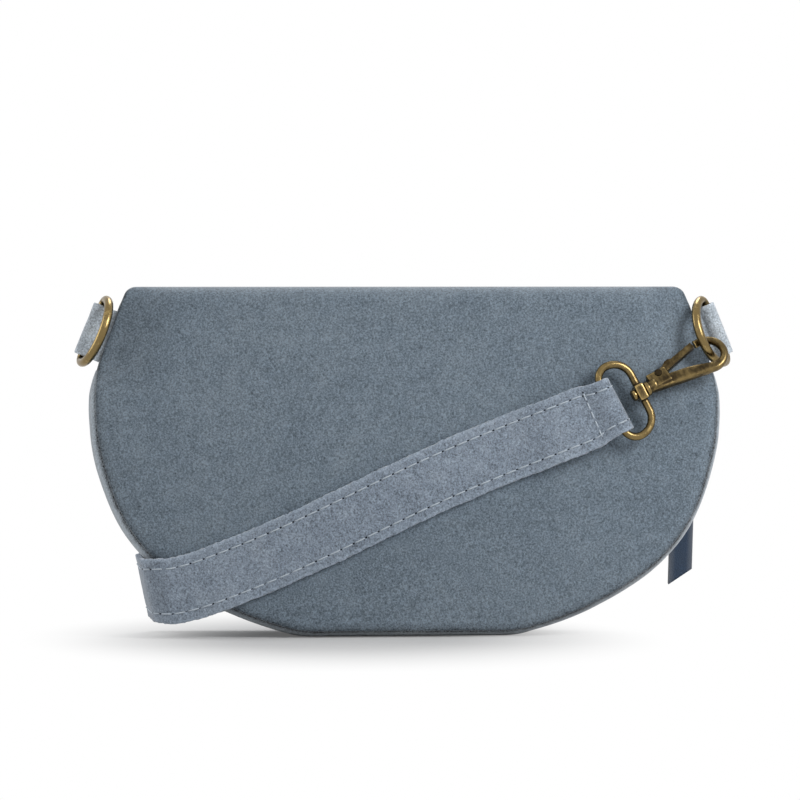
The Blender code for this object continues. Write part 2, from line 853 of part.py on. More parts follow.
def build_slider(place):
    """Slider in its own frame: X along the zip, Y up the front, Z into the bag."""
    half = SLIDER_LENGTH / 2
    wide = SLIDER_WIDTH / 2
    plate_low = CHAIN_OUTSIDE - SLIDER_CLEAR
    back_high = CHAIN_INSIDE + SLIDER_CLEAR
    top = bevel_all(box_mesh(
        "zip_slider", (-half, -wide, -SLIDER_TOP), (half, wide, plate_low)), SLIDER_FLANGE / 2, 1)
    thing = link_piece("zip_slider", top, BRASS, False)
    thing.parent = place
    bottom = box_mesh("slider_back", (-half, -wide, back_high), (half, wide, back_high + SLIDER_PLATE))
    bridge = box_mesh(
        "slider_bridge",
        (-half / 2, -SLIDER_BRIDGE / 2, -SLIDER_TOP / 2),
        (half / 2, SLIDER_BRIDGE / 2, back_high + SLIDER_PLATE / 2))
    arch = []
    legs = BAIL_HALF_SPAN
    crest = -SLIDER_TOP - BAIL_RISE - BAIL_WIRE
    arch.append(Vector((0.0, -legs, -SLIDER_TOP / 2)))
    bend = LINK_WIRE + BAIL_WIRE
    for step in range(TURN_STEPS + 1):
        angle = math.pi * step / TURN_STEPS
        side = -1.0 if angle < math.pi / 2 else 1.0
        across = side * (legs - bend) - math.cos(angle) * bend
        arch.append(Vector((0.0, across, crest + bend * (1.0 - math.sin(angle)))))
    arch.append(Vector((0.0, legs, -SLIDER_TOP / 2)))
    bail = solid_of(wire_curve("slider_bail", arch, BAIL_WIRE, False, TUBE_SIDES))
    for mesh in (bottom, bridge, bail):
        other = cutter_object(mesh.name, mesh)
        other.parent = place
        cut_or_join(thing, other, "UNION")


LINK_LEVEL = SLIDER_TOP + SLIDER_CLEAR + LINK_WIRE


def build_pull(place, angle):
    """Wire link under the bail and the folded leather pull that hangs on it."""
    link_place = empty(
        "link_place", (0.0, 0.0, -LINK_LEVEL), (0.0, 0.0, math.radians(angle)), place)
    slope = math.atan2(LINK_OUT, LINK_LENGTH)
    tilt = empty("link_tilt", (0.0, 0.0, 0.0), (slope, 0.0, 0.0), link_place)
    half = LINK_HALF_WIDTH
    loop = []
    for point in rounded_loop(-LINK_LENGTH, 0.0, half, LINK_CORNER, LINK_CORNER, CORNER_STEPS):
        loop.append(Vector((point.z, point.x, 0.0)))
    link = link_piece("pull_link", wire_curve("pull_link", loop, LINK_WIRE, True, TUBE_SIDES), BRASS, False)
    link.parent = tilt
    pull_place = empty(
        "pull_place", (0.0, -LINK_LENGTH, 0.0), (-slope, 0.0, 0.0), tilt)
    lean = empty("pull_lean", (0.0, 0.0, 0.0), (0.0, 0.0, -math.radians(PULL_LEAN)), pull_place)
    profile = keyhole(PULL_EYE, PULL_LEATHER, PULL_LENGTH, (PULL_NECK, PULL_SHOULDER))
    points = []
    for along, out in profile:
        wide = blend(
            PULL_NECK_HALF_WIDTH, PULL_HALF_WIDTH,
            smooth((-along - PULL_NECK) / (PULL_SHOULDER - PULL_NECK)))
        slant = PULL_SLANT_RISE if -along > PULL_LENGTH - LAYER_GAP else 0.0
        points.append((along, out, wide, slant))
    mesh = prism_mesh("pull_tab", points)
    mesh.transform(Matrix.Rotation(math.radians(90.0), 4, "Z") @ Matrix.Rotation(math.radians(90.0), 4, "X"))
    pull = link_piece("pull_tab", mesh, NAVY, False)
    pull.parent = lean


def keyhole(eye, leather, reach, stations):
    """Profile of a strip folded round a bar: eye at the origin, both ends towards -X."""
    outer = eye + leather
    inner_edge = LAYER_GAP / 2
    outer_edge = inner_edge + leather
    lean_out = math.asin(outer_edge / outer)
    lean_in = math.asin(inner_edge / eye)
    profile = [(-reach, outer_edge)]
    for station in reversed(stations):
        profile.append((-station, outer_edge))
    for step in range(EYE_STEPS + 1):
        angle = blend(math.pi - lean_out, lean_out - math.pi, step / EYE_STEPS)
        profile.append((outer * math.cos(angle), outer * math.sin(angle)))
    for station in stations:
        profile.append((-station, -outer_edge))
    profile.append((-reach, -outer_edge))
    profile.append((-reach, -inner_edge))
    for station in reversed(stations):
        profile.append((-station, -inner_edge))
    for step in range(EYE_STEPS + 1):
        angle = blend(lean_in - math.pi, math.pi - lean_in, step / EYE_STEPS)
        profile.append((eye * math.cos(angle), eye * math.sin(angle)))
    for station in stations:
        profile.append((-station, inner_edge))
    profile.append((-reach, inner_edge))
    return profile


def prism_mesh(name, points):
    """Closed prism: each point is (x, y, half width along Z, shift of x at the +Z end)."""
    count = len(points)
    corners = []
    for sign in (-1.0, 1.0):
        for along, out, wide, slant in points:
            corners.append(Vector((along + sign * slant, out, sign * wide)))
    faces = []
    for index in range(count):
        beside = (index + 1) % count
        faces.append((index, beside, count + beside, count + index))
    faces.append(tuple(reversed(range(count))))
    faces.append(tuple(range(count, 2 * count)))
    mesh = mesh_from(name, corners, faces)
    work = bmesh.new()
    work.from_mesh(mesh)
    bmesh.ops.triangulate(work, faces=[face for face in work.faces if len(face.verts) > 4])
    work.to_mesh(mesh)
    work.free()
    return face_outward(mesh)


def tab_frame(name, sign):
    turn = -TAB_TILT if sign > 0 else 180.0 + TAB_TILT
    return empty(name, (sign * TAB_X, TAB_Y, TAB_Z), (0.0, math.radians(turn), 0.0))


def build_tab(name, place):
    profile = keyhole(TAB_EYE, TAB_LEATHER, TAB_REACH, ())
    filled_outline(name, [profile], -TAB_HALF_WIDTH, TAB_HALF_WIDTH, TAB_SUEDE, place)


def build_ring(name, place, turn):
    """D ring: bar along Z through the tab, bow towards its own +X."""
    path = []
    half = RING_HALF_WIDTH
    corner = RING_CORNER
    path += arc_points((corner, half - corner), corner, 180.0, 90.0, CORNER_STEPS)
    path += arc_points((RING_LEG, 0.0), half, 90.0, -90.0, BOW_STEPS)[1:]
    path += arc_points((corner, corner - half), corner, 270.0, 180.0, CORNER_STEPS)[1:]
    swing = empty(name + "_place", (0.0, 0.0, 0.0), (0.0, 0.0, math.radians(-90.0 - turn)), place)
    ring = link_piece(name, wire_curve(name, path, RING_WIRE, True, TUBE_SIDES), BRASS, False)
    ring.parent = swing


def turned_piece(name, profile, finish, sides):
    """Solid turned about its own Z from (height, radius) corners, listed from the top down."""
    points = [(radius, 0.0, height) for height, radius in profile]
    mesh = bpy.data.meshes.new(name)
    mesh.from_pydata(points, [(index, index + 1) for index in range(len(points) - 1)], [])
    thing = link_piece(name, mesh, finish, False)
    lathe = thing.modifiers.new("lathe", "SCREW")
    lathe.axis = "Z"
    lathe.steps = sides
    lathe.render_steps = sides
    lathe.use_merge_vertices = True
    lathe.merge_threshold = WELD
    return thing


def build_hook_loop(name, place):
    path = rounded_loop(
        0.0, LOOP_LENGTH, LOOP_HALF_WIDTH, LOOP_BACK_CORNER, LOOP_FRONT_CORNER, CORNER_STEPS)
    loop = link_piece(name, solid_of(wire_curve(name, path, LOOP_WIRE, True, TUBE_SIDES)), BRASS, True)
    loop.parent = place
    low = LOOP_LENGTH - EYE_HALF_LENGTH
    high = LOOP_LENGTH + EYE_HALF_LENGTH
    boss = cutter_object(name + "_boss", rod_mesh(
        name + "_boss", (low, 0.0, 0.0), (high, 0.0, 0.0), EYE_RADIUS, ROUND_SIDES))
    hole = cutter_object(name + "_hole", rod_mesh(
        name + "_hole", (low - EYE_RADIUS, 0.0, 0.0), (high + EYE_RADIUS, 0.0, 0.0), EYE_HOLE, ROUND_SIDES))
    boss.parent = place
    hole.parent = place
    cut_or_join(loop, boss, "UNION")
    cut_or_join(loop, hole, "DIFFERENCE")


def hook_arm_path():
    points = [Vector((ARM_ALONG, 0.0, -ARM_LOW))]
    points += arc_points((BOW_ALONG, BOW_UP), BOW_RADIUS, -90.0, 90.0, BOW_STEPS)
    points.append(Vector((NOSE_ALONG, 0.0, BOW_UP + BOW_RADIUS)))
    return points


def build_hook_body(name, place):
    front = LOOP_LENGTH + EYE_HALF_LENGTH + EYE_CLEAR
    back = LOOP_LENGTH - EYE_HALF_LENGTH - EYE_CLEAR
    end = front + BARREL_LENGTH
    profile = (
        (back - STUD_LENGTH, 0.0),
        (back - STUD_LENGTH, STUD_RADIUS * HEAD_EDGE_SHARE),
        (back - STUD_LENGTH * HEAD_EDGE_SHARE, STUD_RADIUS),
        (back, STUD_RADIUS),
        (back, STEM_RADIUS),
        (front, STEM_RADIUS),
        (front, BARREL_RADIUS * BARREL_EDGE_SHARE),
        (front + BARREL_LENGTH * BARREL_ROUND_SHARE, BARREL_RADIUS),
        (end - BARREL_LENGTH * BARREL_ROUND_SHARE, BARREL_RADIUS),
        (end, BARREL_RADIUS * BARREL_EDGE_SHARE),
        (end, 0.0),
    )
    body = turned_piece(name, tuple(reversed(profile)), BRASS, ROUND_SIDES)
    body.rotation_euler = (0.0, math.radians(90.0), 0.0)
    body.parent = place
    cheek = bevel_all(box_mesh(
        name + "_cheek",
        (end - BARREL_LENGTH * BARREL_SEAT_SHARE, -CHEEK_HALF, -CHEEK_LOW),
        (end + CHEEK_LENGTH, CHEEK_HALF, CHEEK_HIGH)), CHEEK_ROUND, 2)
    arm = solid_of(wire_curve(name + "_arm", hook_arm_path(), ARM_WIRE, False, TUBE_SIDES))
    slot_end = end + CHEEK_LENGTH + CHEEK_LENGTH
    slot = box_mesh(
        name + "_slot",
        (PIVOT_ALONG - GATE_ROOT - EYE_CLEAR, -GATE_SLOT_HALF, GATE_SLOT_FLOOR),
        (slot_end, GATE_SLOT_HALF, CHEEK_HIGH + CHEEK_HIGH))
    hole = rod_mesh(
        name + "_bore",
        (PIVOT_ALONG, -CHEEK_HALF - RIVET_HEAD, PIVOT_UP),
        (PIVOT_ALONG, CHEEK_HALF + RIVET_HEAD, PIVOT_UP), RIVET_HOLE, ROUND_SIDES)
    for mesh, action in ((cheek, "UNION"), (arm, "UNION"), (slot, "DIFFERENCE"), (hole, "DIFFERENCE")):
        other = cutter_object(mesh.name, mesh)
        other.parent = place
        cut_or_join(body, other, action)


def build_gate(name, place):
    """Gate lever, drawn as a flat outline round its pivot hole."""
    root = GATE_ROOT
    tip_x = GATE_TIP_ALONG - PIVOT_ALONG
    tip_z = BOW_UP + BOW_RADIUS - PIVOT_UP
    bump_x = GATE_BUMP_ALONG - PIVOT_ALONG
    slope = tip_z / tip_x
    loop = []
    for step in range(TURN_STEPS + 1):
        angle = math.radians(blend(90.0, 270.0, step / TURN_STEPS))
        loop.append((root * math.cos(angle), root * math.sin(angle)))
    loop.append((tip_x, tip_z - GATE_TIP_HALF))
    loop.append((tip_x - GATE_TIP_CUT, tip_z + GATE_TIP_HALF))
    loop.append((bump_x + root + root, (bump_x + root + root) * slope + root))
    loop.append((bump_x + root, (bump_x + root) * slope + root + GATE_BUMP))
    loop.append((bump_x, bump_x * slope + root + GATE_BUMP))
    loop.append((bump_x - root, (bump_x - root) * slope + root))
    hole = []
    for step in range(ROUND_SIDES):
        angle = -2.0 * math.pi * step / ROUND_SIDES
        hole.append((RIVET_HOLE * math.cos(angle), RIVET_HOLE * math.sin(angle)))
    pivot = empty(name + "_place", (PIVOT_ALONG, 0.0, PIVOT_UP), (math.radians(90.0), 0.0, 0.0), place)
    filled_outline(name, [loop, hole], -GATE_HALF, GATE_HALF, BRASS, pivot)


def build_rivet(name, place):
    reach = CHEEK_HALF + EYE_CLEAR
    profile = (
        (-reach - RIVET_HEAD_HEIGHT, 0.0),
        (-reach - RIVET_HEAD_HEIGHT, RIVET_HEAD * HEAD_EDGE_SHARE),
        (-reach, RIVET_HEAD),
        (-reach, RIVET_RADIUS),
        (reach, RIVET_RADIUS),
        (reach, RIVET_HEAD),
        (reach + RIVET_HEAD_HEIGHT, RIVET_HEAD * HEAD_EDGE_SHARE),
        (reach + RIVET_HEAD_HEIGHT, 0.0),
    )
    rivet = turned_piece(name, tuple(reversed(profile)), BRASS, ROUND_SIDES)
    rivet.location = (PIVOT_ALONG, 0.0, PIVOT_UP)
    rivet.rotation_euler = (math.radians(90.0), 0.0, 0.0)
    rivet.parent = place


def build_spring(name, place):
    path = []
    steps = SPRING_TURNS * CURVE_STEPS
    for step in range(steps + 1):
        angle = 2.0 * math.pi * step / CURVE_STEPS
        height = blend(SPRING_LOW, SPRING_HIGH, step / steps)
        path.append(Vector((
            SPRING_ALONG + SPRING_RADIUS * math.cos(angle), SPRING_RADIUS * math.sin(angle), height)))
    spring = link_piece(name, wire_curve(name, path, SPRING_WIRE, False, TUBE_SIDES), BRASS, False)
    spring.parent = place


def build_hook(prefix, bar_place, swivel):
    turn = empty(prefix + "_swivel", (0.0, 0.0, 0.0), (math.radians(swivel), 0.0, 0.0), bar_place)
    build_hook_loop(prefix + "_loop", bar_place)
    build_hook_body(prefix + "_body", turn)
    build_gate(prefix + "_gate", turn)
    build_rivet(prefix + "_rivet", turn)
    build_spring(prefix + "_spring", turn)


def strap_line():
    """Middle of the strap on the back, whose upper end keeps its distance to the right ring."""
    points = [Vector((HALF_WIDTH * across, 0.0, BODY_TOP * high)) for across, high in STRAP_SHARES]
    shift = Vector((TAB_X - SNAP_REACH, 0.0, TAB_Z - SNAP_DROP)) - points[0]
    last = len(points) - 1
    return catmull([point + shift * (1.0 - index / last) for index, point in enumerate(points)], CURVE_STEPS)


def back_face(point):
    """Point on the outer face of the back and the outward direction there."""
    share = point.x / width_at(OUTLINE, point.z)
    held = min(max(share, -1.0), 1.0)
    step = SEAM_GAP
    here = wall_y(-1, held, point.z)
    rise = (wall_y(-1, held, point.z + step) - here) / step
    beside = held + 0.01
    run = (wall_y(-1, beside, point.z) - here) / (0.01 * width_at(OUTLINE, point.z))
    outward = Vector((run, -1.0, rise)).normalized()
    return Vector((point.x, here, point.z)), outward


CONTACT = SEAM_GAP + STRAP_LEATHER / 2
FOLD_BEND = LOOP_WIRE + SEAM_GAP + STRAP_LEATHER / 2
BAR_LIFT = CONTACT + FOLD_BEND + STRAP_END_LIFT


def back_layer_lift(distance):
    """Height of the strap's back layer over the back panel, by distance from the loop bar."""
    return CONTACT + STRAP_END_LIFT * smooth(1.0 - distance / STRAP_END_RUN)


def front_layer_lift(distance):
    """Height of the strap's front layer, which closes on the back layer and then drops to the bag."""
    closing = blend(FOLD_BEND + FOLD_BEND, STRAP_LEATHER + LAYER_GAP, smooth(distance / STRAP_CLOSE))
    dropping = smooth((distance - STRAP_DROP_START) / (STRAP_DROP_END - STRAP_DROP_START))
    return back_layer_lift(distance) + closing * (1.0 - dropping)


def bar_frame():
    """Middle of the clipped snap's bar, with the directions along, off and across the strap."""
    foot, outward = back_face(strap_line()[0])
    across = tilted(HOOK_RISE)
    across = (across - outward * across.dot(outward)).normalized()
    return foot + outward * BAR_LIFT, across.cross(outward), outward, across


def strap_stations():
    """Middle points of the strap with the direction across its width."""
    bar, along, outward, across = bar_frame()
    line = strap_line()
    stations = []
    distance = [0.0]
    for here, there in zip(line, line[1:]):
        distance.append(distance[-1] + (there - here).length)
    back = []
    for point, run in zip(line, distance):
        if 0.0 < run <= STRAP_FOLD_BACK:
            foot, face = back_face(point)
            back.append((foot + face * back_layer_lift(run), across))
    stations += reversed(back[::3])
    for step in range(FOLD_STEPS + 1):
        angle = math.pi * step / FOLD_STEPS
        bend = along * math.sin(angle) - outward * math.cos(angle)
        stations.append((bar + bend * FOLD_BEND, across))
    for index in range(2, len(line), 3):
        foot, face = back_face(line[index])
        ahead = line[min(index + 1, len(line) - 1)] - line[index - 1]
        direction = ahead.normalized()
        leftward = -line[index].x / HALF_WIDTH
        turn = smooth((leftward - TURN_UPRIGHT_SHARE) / TURN_BLEND_SHARE)
        wide = direction.cross(face).normalized()
        if wide.z < 0.0:
            wide = -wide
        wide.y *= 1.0 - turn
        parting = TURN_LIFT * smooth((leftward - TURN_LIFT_SHARE) / TURN_BLEND_SHARE)
        stations.append((foot + face * (front_layer_lift(distance[index]) + parting), wide))
    stations += turn_stations(stations[-1])
    return stations


def tilted(angle):
    turn = math.radians(angle)
    return Vector((-math.sin(turn), 0.0, math.cos(turn)))


def plan_arc(centre_x, centre_y, radius, start, end, levels, tilts, steps):
    part = []
    for step in range(steps + 1):
        share = step / steps
        angle = math.radians(blend(start, end, share))
        point = Vector((
            centre_x + radius * math.cos(angle),
            centre_y + radius * math.sin(angle),
            blend(levels[0], levels[1], share)))
        part.append((point, tilted(blend(tilts[0], tilts[1], share))))
    return part


def plan_line(start, end, levels, tilts, steps):
    part = []
    for step in range(1, steps):
        share = step / steps
        point = Vector((
            blend(start[0], end[0], share),
            blend(start[1], end[1], share),
            blend(levels[0], levels[1], smooth(share))))
        part.append((point, tilted(blend(tilts[0], tilts[1], share))))
    return part


def turn_stations(last):
    """Strap round the left edge, behind the bag in a short hank and to the second snap."""
    side_y = last[0].y + TURN_RADIUS
    rear_y = TURN_OUT_Y + TURN_RADIUS
    second_y = rear_y + 2 * HANK_RADIUS
    third_y = second_y + 2 * HANK_RADIUS
    level = last[0].z
    turn_x = -HALF_WIDTH * STRAP_SHARES[-1][0]
    one, two, three, four = TURN_TILTS
    flat = (level, level)
    high = (RUN_ONE_Z, RUN_ONE_Z)
    low = (RUN_THREE_Z, RUN_THREE_Z)
    part = plan_arc(-turn_x, side_y, TURN_RADIUS, 270.0, 180.0, flat, (one, two), TURN_STEPS)[1:]
    left = -turn_x - TURN_RADIUS
    part += plan_line((left, side_y), (left, TURN_OUT_Y), flat, (two, three), CORNER_STEPS)
    part += plan_arc(-turn_x, TURN_OUT_Y, TURN_RADIUS, 180.0, 90.0, flat, (three, four), TURN_STEPS)
    part += plan_line(
        (-turn_x, rear_y), (RUN_ONE_END, rear_y), (level, RUN_ONE_Z), (four, four), RUN_ONE_STEPS)
    part += plan_arc(
        RUN_ONE_END, rear_y + HANK_RADIUS, HANK_RADIUS, -90.0, 90.0, high, (four, four), FOLD_STEPS)
    part += plan_line(
        (RUN_ONE_END, second_y), (-RUN_TWO_END, second_y),
        (RUN_ONE_Z, RUN_THREE_Z), (four, 0.0), RUN_TWO_STEPS)
    part += plan_arc(
        -RUN_TWO_END, second_y + HANK_RADIUS, HANK_RADIUS, 270.0, 90.0, low, (0.0, 0.0), FOLD_STEPS)
    part += end_fold(third_y)
    return part


def bar_b_y():
    third_y = TURN_OUT_Y + TURN_RADIUS + 4 * HANK_RADIUS
    return third_y + (STRAP_LEATHER + LAYER_GAP) / 2


def end_fold(third_y):
    """Third run of the hank and its fold round the bar of the second snap."""
    up = Vector((0.0, 0.0, 1.0))
    middle = bar_b_y()
    folded = []
    close = BAR_B_X - STRAP_CLOSE
    layer = (STRAP_LEATHER + LAYER_GAP) / 2
    for step in range(1, CORNER_STEPS):
        across = blend(-RUN_TWO_END, close, step / CORNER_STEPS)
        folded.append((Vector((across, third_y, RUN_THREE_Z)), up))
    for step in range(CORNER_STEPS):
        share = step / CORNER_STEPS
        reach = blend(layer, FOLD_BEND, smooth(share))
        folded.append((Vector((blend(close, BAR_B_X, share), middle - reach, RUN_THREE_Z)), up))
    for step in range(FOLD_STEPS + 1):
        angle = math.radians(blend(-90.0, 90.0, step / FOLD_STEPS))
        folded.append((Vector((
            BAR_B_X + FOLD_BEND * math.cos(angle), middle + FOLD_BEND * math.sin(angle), RUN_THREE_Z)), up))
    for step in range(1, CORNER_STEPS + 1):
        share = step / CORNER_STEPS
        reach = blend(FOLD_BEND, layer, smooth(share))
        folded.append((Vector((blend(BAR_B_X, close, share), middle + reach, RUN_THREE_Z)), up))
    for step in range(1, 3):
        across = blend(close, BAR_B_X - STRAP_FOLD_BACK, step / 2)
        folded.append((Vector((across, middle + layer, RUN_THREE_Z)), up))
    return folded


def strap_section(half):
    thick = STRAP_LEATHER / 2
    cut = STRAP_CHAMFER
    return (
        (half, thick - cut), (half - cut, thick), (cut - half, thick), (-half, thick - cut),
        (-half, cut - thick), (cut - half, -thick), (half - cut, -thick), (half, cut - thick),
    )


def build_strap():
    stations = strap_stations()
    bars = (bar_frame()[0], Vector((BAR_B_X, bar_b_y(), RUN_THREE_Z)))
    points = []
    for index, (middle, hint) in enumerate(stations):
        ahead = stations[min(index + 1, len(stations) - 1)][0]
        behind = stations[max(index - 1, 0)][0]
        along = (ahead - behind).normalized()
        across = (hint - along * hint.dot(along)).normalized()
        out = along.cross(across)
        near = min((middle - bar).length for bar in bars)
        half = blend(STRAP_FOLD_HALF_WIDTH, STRAP_HALF_WIDTH, smooth((near - FOLD_BEND) / STRAP_NARROW))
        section = strap_section(half)
        for wide, high in section:
            points.append(middle + across * wide + out * high)
    count = len(section)
    faces = []
    for index in range(len(stations) - 1):
        for corner in range(count):
            beside = (corner + 1) % count
            faces.append((
                index * count + corner, index * count + beside,
                (index + 1) * count + beside, (index + 1) * count + corner))
    faces.append(tuple(reversed(range(count))))
    faces.append(tuple((len(stations) - 1) * count + corner for corner in range(count)))
    mesh = face_outward(mesh_from("strap", points, faces))
    link_piece("strap", mesh, STRAP_SUEDE, True)


def hook_a_place():
    bar, along, outward, across = bar_frame()
    turn = Matrix((along, -outward, across)).transposed().to_euler()
    base = empty("hook_a_bar", bar, turn)
    return empty("hook_a_lean", (0.0, 0.0, 0.0), (0.0, 0.0, math.radians(HOOK_LEAN)), base)


def build_zip():
    front = empty(
        "front_plane", (0.0, HALF_DEPTH, SEAM_LIFT), (math.radians(90.0) + FRONT_TILT, 0.0, 0.0))
    build_zip_tapes(front)
    build_zip_teeth(front)
    build_zip_stops(front)
    place, angle = slider_frame(front)
    build_slider(place)
    build_pull(place, angle)


def build_all():
    build_back_panel()
    build_front_panel()
    build_gusset()
    build_lining()
    build_zip()
    right = tab_frame("tab_right_place", 1)
    left = tab_frame("tab_left_place", -1)
    build_tab("tab_right", right)
    build_tab("tab_left", left)
    build_ring("ring_right", right, RING_RIGHT_TURN)
    build_ring("ring_left", left, RING_LEFT_TURN)
    build_strap()
    build_hook("hook_a", hook_a_place(), HOOK_SWIVEL)
    bar_b = empty("hook_b_bar", (BAR_B_X, bar_b_y(), RUN_THREE_Z), (0.0, 0.0, 0.0))
    build_hook("hook_b", bar_b, HOOK_B_SWIVEL)


build_all()
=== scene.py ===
"""Suede belt bag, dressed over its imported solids: leather shell, belt strap, brass fittings and studio."""
import math

import bmesh
import bpy
import numpy as np
from mathutils import Matrix, Vector, noise


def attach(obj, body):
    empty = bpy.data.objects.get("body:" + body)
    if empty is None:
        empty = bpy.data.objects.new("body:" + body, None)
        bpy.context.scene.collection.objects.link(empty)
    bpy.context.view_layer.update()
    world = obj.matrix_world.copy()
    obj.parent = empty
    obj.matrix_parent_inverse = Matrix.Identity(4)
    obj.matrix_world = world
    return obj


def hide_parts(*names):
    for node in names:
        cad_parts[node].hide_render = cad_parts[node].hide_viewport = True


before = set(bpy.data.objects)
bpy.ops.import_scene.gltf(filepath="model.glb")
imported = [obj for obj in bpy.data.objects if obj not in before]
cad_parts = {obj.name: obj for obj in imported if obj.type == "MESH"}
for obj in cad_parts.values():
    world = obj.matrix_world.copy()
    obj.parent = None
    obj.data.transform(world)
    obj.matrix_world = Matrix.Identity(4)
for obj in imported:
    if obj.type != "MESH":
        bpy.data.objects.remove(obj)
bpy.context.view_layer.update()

bl_info = {
    "name": "Belt bag dresser",
    "version": (1, 0, 0),
    "blender": (4, 5, 0),
    "location": "View3D > Sidebar > Belt bag",
    "description": "Builds the suede shell, strap, stitches, fittings and studio of a belt bag",
    "category": "Object",
}

MM = 0.001

# Shell, as in the solids
HALF_WIDTH = 135.6 * MM
BODY_TOP = 152.0 * MM
SEAM_LIFT = 3.0 * MM
HALF_DEPTH = 25.0 * MM
FOLD_RADIUS = 8.5 * MM
TOP_CORNER = 3.0 * MM
FOLD_FRONT = 6.5 * MM
FOLD_BACK = 10.5 * MM
CUT_HALF_DEPTH = 3.6 * MM
CUT_START = BODY_TOP - 48.0 * MM
CUT_END = BODY_TOP - 30.0 * MM
CUT_GAP = 0.5 * MM
CUT_PINCH = 0.8
CROWNS = {-1: 4.5 * MM, 1: 2.4 * MM}
LEATHER = 1.4 * MM
SHELL_LEATHER = 0.9 * MM
SEAM_GAP = 0.35 * MM
GUSSET_BULGE = 3.4 * MM
GUSSET_TUCK = 1.0 * MM
GUSSET_TOP = BODY_TOP - 36.5 * MM
GUSSET_FULL_DEPTH = 30.0 * MM
GUSSET_WIDEST = 90.0 * MM
LINING_INSET = 3.4 * MM
LINING_GAP = 0.6 * MM
LINING_BACK_TOP = BODY_TOP - 16.0 * MM

# Look of the leather shell and its lining
PANEL_MIDDLES = {-1: 75.0 * MM, 1: 60.0 * MM}
PANEL_SEEDS = {-1: 1, 1: 5}
BACK_PLANE_ROWS = 108
SOFTNESS = 0.22 * MM
SOFT_BROAD = 46.0 * MM
SOFT_SMALL = 17.0 * MM
LIP_BULGE = 0.3 * MM
LIP_DEPTH = 2.6 * MM
LIP_LEAST = 0.4 * MM
LIP_SPARE = 0.12 * MM
TAB_SPARE = 1.95 * MM
TAB_ROOM_LOW = 117.0 * MM
TAB_ROOM_LOW_RUN = 3.0 * MM
TAB_ROOM_HIGH = 147.0 * MM
TAB_ROOM_HIGH_RUN = 2.0 * MM
SEAM_REACH = 4.5 * MM
SEAM_SINK = 1.6 * MM
SEAM_CREST = 3.4 * MM
SEAM_CREST_REACH = 1.6 * MM
SEAM_SHADE_REACH = 0.8 * MM
ZIP_LIP_DEPTH = 1.5 * MM
ZIP_LIP_BULGE = 0.7 * MM
GUSSET_COLUMNS = 31
PUCKER_LENGTH = 6.0 * MM
PUCKER_DEPTH = 0.34 * MM
SWELL_LENGTH = 21.0 * MM
SWELL_DEPTH = 0.35 * MM
FLOOR_RUN = 2.0 * MM
FLOOR_REST = 0.05 * MM
LINING_COLUMNS = 61
LINING_CLOTH = 0.5 * MM
GATHER_LENGTH = 14.0 * MM
GATHER_DEPTH = 0.9 * MM
GATHER_LEAST = 0.1 * MM

# Zip
ZIP_RADIUS = 226.0 * MM
ZIP_CREST_DROP = 12.5 * MM
ZIP_SIDE_GAP = 3.774 * MM
ZIP_OPENING = 5.0 * MM
TAPE_REACH = 8.0 * MM
TAPE_START = 3.4 * MM
TAPE_SPARE = 0.4 * MM
TAPE = 0.7 * MM
TAPE_DEPTH = 1.7 * MM
TAPE_RIB = 0.12 * MM
STOP_LENGTH = 1.5 * MM
SLIDER_LENGTH = 8.8 * MM
SLIDER_CLEAR = 0.35 * MM
SLIDER_TOP = 1.2 * MM
LINK_WIRE = 0.8 * MM
LINK_HALF_WIDTH = 4.5 * MM
LINK_LENGTH = 12.5 * MM
LINK_CORNER = 1.6 * MM
LINK_OUT = 3.1 * MM
PULL_LEATHER = 1.2 * MM
PULL_EYE = 1.45 * MM
PULL_HALF_WIDTH = 5.2 * MM
PULL_NECK_HALF_WIDTH = 3.3 * MM
PULL_NECK = 5.0 * MM
PULL_SHOULDER = 10.0 * MM
PULL_LENGTH = 58.0 * MM
PULL_END = 2.0 * MM
PULL_SLANT = 3.6 * MM
PULL_SLANT_RUN = 8.0 * MM
PULL_EDGE = (0.3 * MM, 0.08 * MM, 0.0)
PULL_LEAN = 0.5
ZIP_SEAM = 2.6 * MM
ZIP_SEAM_LIFT = 0.1 * MM
ZIP_STITCH = 3.6 * MM

# Tabs and D rings
TAB_STAND_OFF = 8.15 * MM
TAB_Y = -2.0 * MM
TAB_Z = BODY_TOP - 19.0 * MM
TAB_TILT = 22.0
TAB_LEATHER = 1.55 * MM
TAB_EYE = 2.35 * MM
TAB_HALF_WIDTH = 11.7 * MM
TAB_REACH = 18.0 * MM
TAB_NECK = 3.6 * MM
TAB_END = 1.0 * MM
TAB_EDGE = (0.34 * MM, 0.10 * MM)
TAB_FRAY = 0.32 * MM
RING_WIRE = 2.0 * MM
RING_HALF_WIDTH = 14.5 * MM
RING_LEG = 3.0 * MM
RING_CORNER = 3.0 * MM
RING_TURNS = {"left": 12.0, "right": 31.0}
FRAY_LENGTH = 1.3 * MM
CREASE_LENGTH = 7.0 * MM

